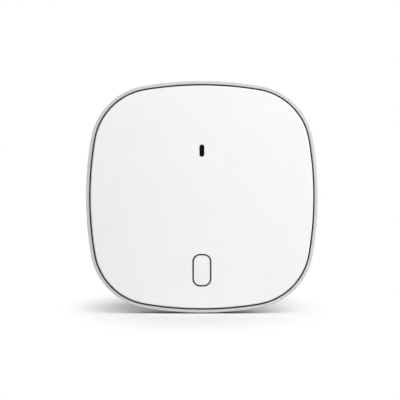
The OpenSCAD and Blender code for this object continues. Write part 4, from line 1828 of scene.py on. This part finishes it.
@dataclass(frozen=True)
class TurnedPart(BoardPart):
    """Round part on an upright axis, whose upper end can have a finish of its own.

    Each corner of its line gives its distance inside the full radius and its share of the height.
    """

    line: tuple[Point, ...] = ()
    split: float = 1.0

    def shape(self, bm: BMesh, low: Vector, high: Vector) -> None:
        """Models one part.

        Args:
            bm: Empty mesh to model in.
            low: Lowest corner of the part's place.
            high: Highest corner of it.
        """
        middle, radius, height = (low + high) / 2, (high.x - low.x) / 2, high.z - low.z
        outer = [(radius - inset, high.z - share * height) for inset, share in self.line]
        lathe(bm, [(0.0, high.z), *outer, (0.0, low.z)], (middle.x, middle.y))
        bmesh.ops.remove_doubles(bm, verts=bm.verts, dist=WELD)
        for face in bm.faces:
            face.material_index = int(face.calc_center_median().z < high.z - self.split * height - WELD)


@dataclass(frozen=True)
class CapacitorCan(TurnedPart):
    """Drawn can with a printed field on one side of its top."""

    field: float = 0.35

    def shape(self, bm: BMesh, low: Vector, high: Vector) -> None:
        """Models one part.

        Args:
            bm: Empty mesh to model in.
            low: Lowest corner of the part's place.
            high: Highest corner of it.
        """
        super().shape(bm, low, high)
        border = (low.x + high.x) / 2 - self.field * (high.x - low.x) / 2
        top = [face for face in bm.faces if face.calc_center_median().z < low.z + WELD]
        parts = dict.fromkeys(part for face in top for part in (face, *face.edges, *face.verts))
        bmesh.ops.bisect_plane(bm, geom=list(parts), plane_co=(border, 0, 0), plane_no=(1, 0, 0))
        for face in bm.faces:
            centre = face.calc_center_median()
            face.material_index = int(centre.z < low.z + WELD and centre.x < border)


@dataclass(frozen=True)
class CanFoot(BoardPart):
    """Square foot under a can, with two corners cut off to show which way round it sits."""

    corner: float = 0.9

    def shape(self, bm: BMesh, low: Vector, high: Vector) -> None:
        """Models one part.

        Args:
            bm: Empty mesh to model in.
            low: Lowest corner of the part's place.
            high: Highest corner of it.
        """
        slab(bm, low, high)
        marked = [edge for edge in bm.edges if all(vert.co.x < low.x + WELD for vert in edge.verts)
                  and abs(edge.verts[0].co.z - edge.verts[1].co.z) > WELD]
        bevel_edges(bm, marked, self.corner, 1)
        self.round_edges(bm)


@dataclass(frozen=True)
class ModuleBoard(BoardPart):
    """Small board with half holes along two sides."""

    hole_r: float = 0.45
    pitch: float = 1.5
    count: int = 10
    margin: float = 1.6

    def shape(self, bm: BMesh, low: Vector, high: Vector) -> None:
        """Models one part.

        Args:
            bm: Empty mesh to model in.
            low: Lowest corner of the part's place.
            high: Highest corner of it.
        """
        slab(bm, low, high)
        self.round_edges(bm)

    def cuts(self, low: Vector, high: Vector) -> list[Object]:
        """Makes the tool that drills the half holes.

        Args:
            low: Lowest corner of the part's place.
            high: Highest corner of it.

        Returns:
            The tool.
        """
        places = [(x, low.y + self.margin + number * self.pitch)
                  for x in (low.x, high.x) for number in range(self.count)]
        return [turned("edge_holes", rod(self.hole_r, low.z - PAST, high.z + PAST), places)]


@dataclass(frozen=True)
class ShieldCan(BoardPart):
    """Pressed sheet can, open towards the board."""

    sheet: float = 0.2
    bend: float = 0.4
    bend_steps: int = 4

    def shape(self, bm: BMesh, low: Vector, high: Vector) -> None:
        """Models one part.

        Args:
            bm: Empty mesh to model in.
            low: Lowest corner of the part's place.
            high: Highest corner of it.
        """
        slab(bm, low, high)
        bent = [edge for edge in bm.edges if min(vert.co.z for vert in edge.verts) < high.z - WELD]
        bevel_edges(bm, bent, self.bend, self.bend_steps)

    def cuts(self, low: Vector, high: Vector) -> list[Object]:
        """Makes the tool that hollows the can.

        Args:
            low: Lowest corner of the part's place.
            high: Highest corner of it.

        Returns:
            The tool.
        """
        inner_low = low + Vector((self.sheet, self.sheet, self.sheet))
        inner_high = high + Vector((-self.sheet, -self.sheet, PAST))
        return [block("can_space", inner_low, inner_high)]


BOARD_PARTS: tuple[BoardPart, ...] = (
    ChipPart("ceramic_chips", "chip_capacitors", "capacitor_ceramic", (CAPACITOR_CERAMIC, TINNED_STEEL)),
    ChipPart("resistor_chips", "chip_resistors", "chip_resin", (CHIP_RESIN, TINNED_STEEL)),
    ChipPackage("processor", "processor_chip", "chip_resin", (CHIP_RESIN,)),
    ChipPackage("door_radio", "door_radio_chip", "chip_resin", (CHIP_RESIN,)),
    ChipPackage("memory", "memory_chip", "chip_resin", (CHIP_RESIN,), draft=0.12),
    ChipPackage("regulator", "regulator_body", "chip_resin", (CHIP_RESIN,), draft=0.12),
    ChipPackage("network_radio", "radio_chip", "chip_resin", (CHIP_RESIN,)),
    LiddedPart("crystal_can", "crystal", "tinned_steel", (CHIP_RESIN, TINNED_STEEL)),
    LiddedPart("status_lamps", "status_leds", "lamp_resin", (LAMP_BASE, LAMP_RESIN), side=Side.FRONT),
    CapacitorCan("cans", "capacitor_cans", "can_aluminium", (CAN_ALUMINIUM, BLACK_PLASTIC),
                 line=((0.0, 0.0), (0.0, 0.1), (0.2, 0.14), (0.2, 0.17), (0.0, 0.21), (0.0, 0.92),
                       (0.1, 0.97), (0.35, 1.0))),
    CanFoot("can_feet", "capacitor_bases", "black_plastic", (BLACK_PLASTIC,)),
    TurnedPart("beep_disc", "sounder_disc", "sounder_brass", (SOUNDER_BRASS, CAPACITOR_CERAMIC),
               line=((0.05, 0.0), (0.0, 0.1), (0.0, 0.5), (0.05, 0.6), (1.6, 0.6), (1.65, 1.0)), split=0.62),
    TurnedPart("beep_pins", "sounder_pins", "tinned_steel", (TINNED_STEEL,),
               line=((0.0, 0.0), (0.0, 0.85), (0.12, 1.0))),
    ModuleBoard("radio_module", "radio_board", "board_laminate", (RADIO_LAMINATE,)),
    ShieldCan("radio_can", "radio_shield", "tinned_steel", (TINNED_STEEL,)),
)


@dataclass(frozen=True)
class CoilAntenna:
    """Enamelled wire wound into a coil that stands on its two ends."""

    wire_d: float = 0.8
    turns: float = 12.5
    turn_steps: int = 24
    sides: int = 12

    def build(self) -> None:
        """Winds the coil between the corners of its solid, bends its ends to the board and fits it."""
        low, high = bench_box("coil_antenna")
        radius = (high.x - low.x - self.wire_d) / 2
        wire_r = self.wire_d / 2
        start = low + Vector((wire_r, wire_r, wire_r + radius))
        steps = round(self.turns * self.turn_steps)
        advance = (high.y - low.y - self.wire_d) / steps
        bm = bmesh.new()
        first = bmesh.ops.create_circle(bm, segments=self.sides, radius=wire_r)["verts"]
        bmesh.ops.translate(bm, vec=start, verts=first)
        section = list(bm.edges)
        wound = bmesh.ops.spin(bm, geom=[*first, *section], cent=start + Vector((radius, 0, 0)),
                               axis=(0, -1, 0), dvec=(0, advance, 0), angle=2 * math.pi * self.turns,
                               steps=steps)
        last = [part for part in wound["geom_last"] if isinstance(part, BMEdge)]
        for end in (section, last):
            leg = bmesh.ops.extrude_edge_only(bm, edges=end)["geom"]
            foot = [part for part in leg if isinstance(part, BMVert)]
            for vert in foot:
                vert.co.z = high.z
            bmesh.ops.edgeloop_fill(bm, edges=[part for part in leg if isinstance(part, BMEdge)])
        fit_piece(solid("coil", bm), (COIL_WIRE,), Body.HUB, "coil_wire", "coil_antenna")


@dataclass(frozen=True)
class SoftenedPart:
    """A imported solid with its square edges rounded, as a mould or a press leaves them."""

    name: str
    node: str
    finish: Finish
    edge: float
    body: Body = Body.HUB
    edge_steps: int = 2

    def build(self) -> None:
        """Rounds the solid's copy and fits it."""
        bm = bench_mesh(self.node)
        round_square(bm, self.edge, self.edge_steps)
        made = solid(self.name, bm)
        keep_flats(made)
        fit_piece(made, (self.finish,), self.body, self.finish.name, self.node)


SOFTENED_PARTS = (
    SoftenedPart("switch_case", "switch_base", BLACK_PLASTIC, 0.12),
    SoftenedPart("switch_lid", "switch_plate", TINNED_STEEL, 0.06),
    SoftenedPart("switch_feet", "switch_leads", TINNED_STEEL, 0.05),
    SoftenedPart("switch_post", "switch_plunger", PLUNGER_PLASTIC, 0.12, Body.PLUNGER),
    SoftenedPart("light_guide", "light_pipe", CLEAR_PLASTIC, 0.1),
    SoftenedPart("socket_can", "socket_shell", TINNED_STEEL, 0.06),
    SoftenedPart("socket_insert", "socket_tongue", BLACK_PLASTIC, 0.06),
    SoftenedPart("socket_strips", "socket_contacts", GOLD_PLATE, 0.02),
    SoftenedPart("beep_case", "sounder_case", BLACK_PLASTIC, 0.2, edge_steps=3),
    SoftenedPart("inductor_core", "power_inductor", FERRITE, 0.3, edge_steps=3),
    SoftenedPart("memory_legs", "memory_leads", TINNED_STEEL, 0.04),
    SoftenedPart("regulator_legs", "regulator_leads", TINNED_STEEL, 0.04),
)


@dataclass(frozen=True)
class DressedSolid:
    """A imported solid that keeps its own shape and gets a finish."""

    node: str
    finish: Finish

    def build(self) -> None:
        """Dresses the solid."""
        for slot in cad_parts[self.node].material_slots:
            slot.material = self.finish.material()
        LOG.info("%s: packed solid in %s", self.node, self.finish.name)


DRESSED_SOLIDS = (
    DressedSolid("seam_gasket", GASKET_RUBBER),
    DressedSolid("main_board", BOARD_LAMINATE),
    DressedSolid("trace_antenna", GOLD_PLATE),
)


def seen_rays(tree: NodeTree) -> NodeSocket:
    """Tells the rays that show the background: the camera's, and those that a piece mirrors or lets through.

    Args:
        tree: Node tree to add to.

    Returns:
        1 for such a ray, else 0.
    """
    path = tree.nodes.new("ShaderNodeLightPath")
    seen = path.outputs["Is Camera Ray"]
    for kind in ("Is Glossy Ray", "Is Transmission Ray"):
        either = tree.nodes.new("ShaderNodeMath")
        either.operation = "MAXIMUM"
        tree.links.new(seen, either.inputs[0])
        tree.links.new(path.outputs[kind], either.inputs[1])
        seen = either.outputs["Value"]
    return seen


def show_either(tree: NodeTree, share: NodeSocket, shaders: Sequence[NodeSocket], output: str) -> None:
    """Ends a node tree in a mix of two shaders.

    Args:
        tree: Node tree to add to.
        share: Share of the second shader.
        shaders: Both shaders.
        output: Name of the output node.
    """
    mix = tree.nodes.new("ShaderNodeMixShader")
    for source, socket in zip((share, *shaders), mix.inputs):
        tree.links.new(source, socket)
    tree.links.new(mix.outputs["Shader"], tree.nodes[output].inputs["Surface"])


@dataclass(frozen=True)
class Lamp:
    """A flat soft lamp, given by the share of full daylight that it adds at the case."""

    name: str
    place: Triple
    size: Point
    share: float

    def build(self, target: Vector) -> None:
        """Hangs the lamp.

        Args:
            target: Place that it looks at.
        """
        data = bpy.data.lights.new(self.name, "AREA")
        data.shape = "RECTANGLE"
        data.size, data.size_y = self.size
        reach = Vector(self.place) - target
        data.energy = self.share * math.pi**2 * reach.length_squared
        lamp = bpy.data.objects.new(self.name, data)
        lamp.location = self.place
        lamp.rotation_mode = "QUATERNION"
        lamp.rotation_quaternion = reach.to_track_quat("Z", "Y")
        lamp.visible_camera = False
        bpy.context.scene.collection.objects.link(lamp)


@dataclass
class Studio:
    """White floor, soft lamps and a camera straight in front of the case."""

    case: Case
    picture_px: float = 400.0
    case_px: float = 231.3
    middle_px: Point = (201.85, 196.85)
    distance: float = 0.7
    sensor: float = 36.0
    ambient: float = 0.27
    clip: Point = (0.01, 20.0)
    floor_colour: Colour = (0.94, 0.94, 0.94)
    floor_rough: float = 0.9
    floor_half: float = 3.0
    floor_gap: float = 0.3
    shadow_at: Point = (-0.002, 0.03)
    narrow: float = 3.6
    near: float = 0.05
    far: float = 0.17
    lamps: tuple[Lamp, ...] = (
        Lamp("front", (0.21, -0.47, 0.495), (0.35, 0.35), 0.56),
        Lamp("key", (0.36, -0.36, 0.24), (0.3, 0.3), 0.24),
        Lamp("rear", (-0.25, 0.75, -0.012), (0.5, 0.04), 0.25),
    )

    def camera(self) -> None:
        """Places the camera so that the case has its size and place in the picture."""
        front = -(self.case.lip_z - self.case.lip_w) * MM
        pixel = 2 * self.case.outline.half * MM / self.case_px
        data = bpy.data.cameras.new("camera")
        data.sensor_width = self.sensor
        data.lens = self.sensor * self.distance / (pixel * self.picture_px)
        data.clip_start, data.clip_end = self.clip
        camera = bpy.data.objects.new("camera", data)
        middle = self.picture_px / 2
        camera.location = ((middle - self.middle_px[0]) * pixel, front - self.distance,
                           (self.middle_px[1] - middle) * pixel)
        camera.rotation_euler = (math.pi / 2, 0, 0)
        bpy.context.scene.collection.objects.link(camera)
        bpy.context.scene.camera = camera

    def floor(self) -> None:
        """Lays the floor under the case. It shows the case's shadow and turns plain white away from it."""
        bm = bmesh.new()
        bmesh.ops.create_grid(bm, x_segments=1, y_segments=1, size=self.floor_half)
        bmesh.ops.translate(bm, vec=(0, 0, -(self.case.outline.half + self.floor_gap) * MM), verts=bm.verts)
        mesh = bpy.data.meshes.new("floor")
        bm.to_mesh(mesh)
        bm.free()
        mesh.materials.append(self.floor_material())
        floor = bpy.data.objects.new("floor", mesh)
        bpy.context.scene.collection.objects.link(floor)

    def floor_material(self) -> Material:
        """Builds the floor's material.

        Returns:
            Matt paint near the case, which turns into plain white where it is only seen.
        """
        shader = Shader("floor")
        across, back = self.shadow_at
        around = shader.mapped(stretch=(self.narrow, 1, 0), start=(-self.narrow * across, -back, 0))
        away = shader.feed(shader.add("ShaderNodeVectorMath", operation="LENGTH"), Vector=around)
        fade = shader.ramp(away.outputs["Value"], self.near, self.far)
        fade.node.interpolation_type = "SMOOTHSTEP"
        share = shader.add("ShaderNodeMath", operation="MULTIPLY")
        shader.tree.links.new(fade, share.inputs[0])
        shader.tree.links.new(seen_rays(shader.tree), share.inputs[1])
        shader.set(Base_Color=(*self.floor_colour, 1.0), Roughness=self.floor_rough, Specular_IOR_Level=0.0)
        white = shader.feed(shader.add("ShaderNodeEmission"), Strength=1.0)
        either = shader.surface.outputs["BSDF"], white.outputs["Emission"]
        show_either(shader.tree, share.outputs["Value"], either, "Material Output")
        return shader.material

    def world(self) -> None:
        """Lights the scene softly from all round and shows plain white where the camera looks past it."""
        world = bpy.data.worlds.new("studio")
        world.use_nodes = True
        tree = world.node_tree
        soft, white = tree.nodes["Background"], tree.nodes.new("ShaderNodeBackground")
        for node, strength in ((soft, self.ambient), (white, 1.0)):
            node.inputs["Color"].default_value = (1, 1, 1, 1)
            node.inputs["Strength"].default_value = strength
        either = soft.outputs["Background"], white.outputs["Background"]
        show_either(tree, seen_rays(tree), either, "World Output")
        bpy.context.scene.world = world

    def build(self) -> None:
        """Sets up the camera, the floor, the light and the view."""
        self.camera()
        self.floor()
        self.world()
        for lamp in self.lamps:
            lamp.build(Vector((0, -self.case.lip_z * MM, 0)))
        bpy.context.scene.view_settings.view_transform = "Standard"


def main() -> None:
    """Builds the studio and the pieces in order."""
    logging.basicConfig(level=logging.INFO, format="%(message)s")
    case = Case.from_frame()
    screws = CaseScrews()
    button = PushButton(case)
    lens = StatusLens(case)
    for part in (
        Studio(case),
        FrontCover(case, button, lens, screws.xy),
        button,
        lens,
        RearHousing(case, screws.xy),
        screws,
        WallBracket(),
        *DRESSED_SOLIDS,
        *SOFTENED_PARTS,
        *BOARD_PARTS,
        CoilAntenna(),
    ):
        part.build()


if __name__ == "__main__":
    main()
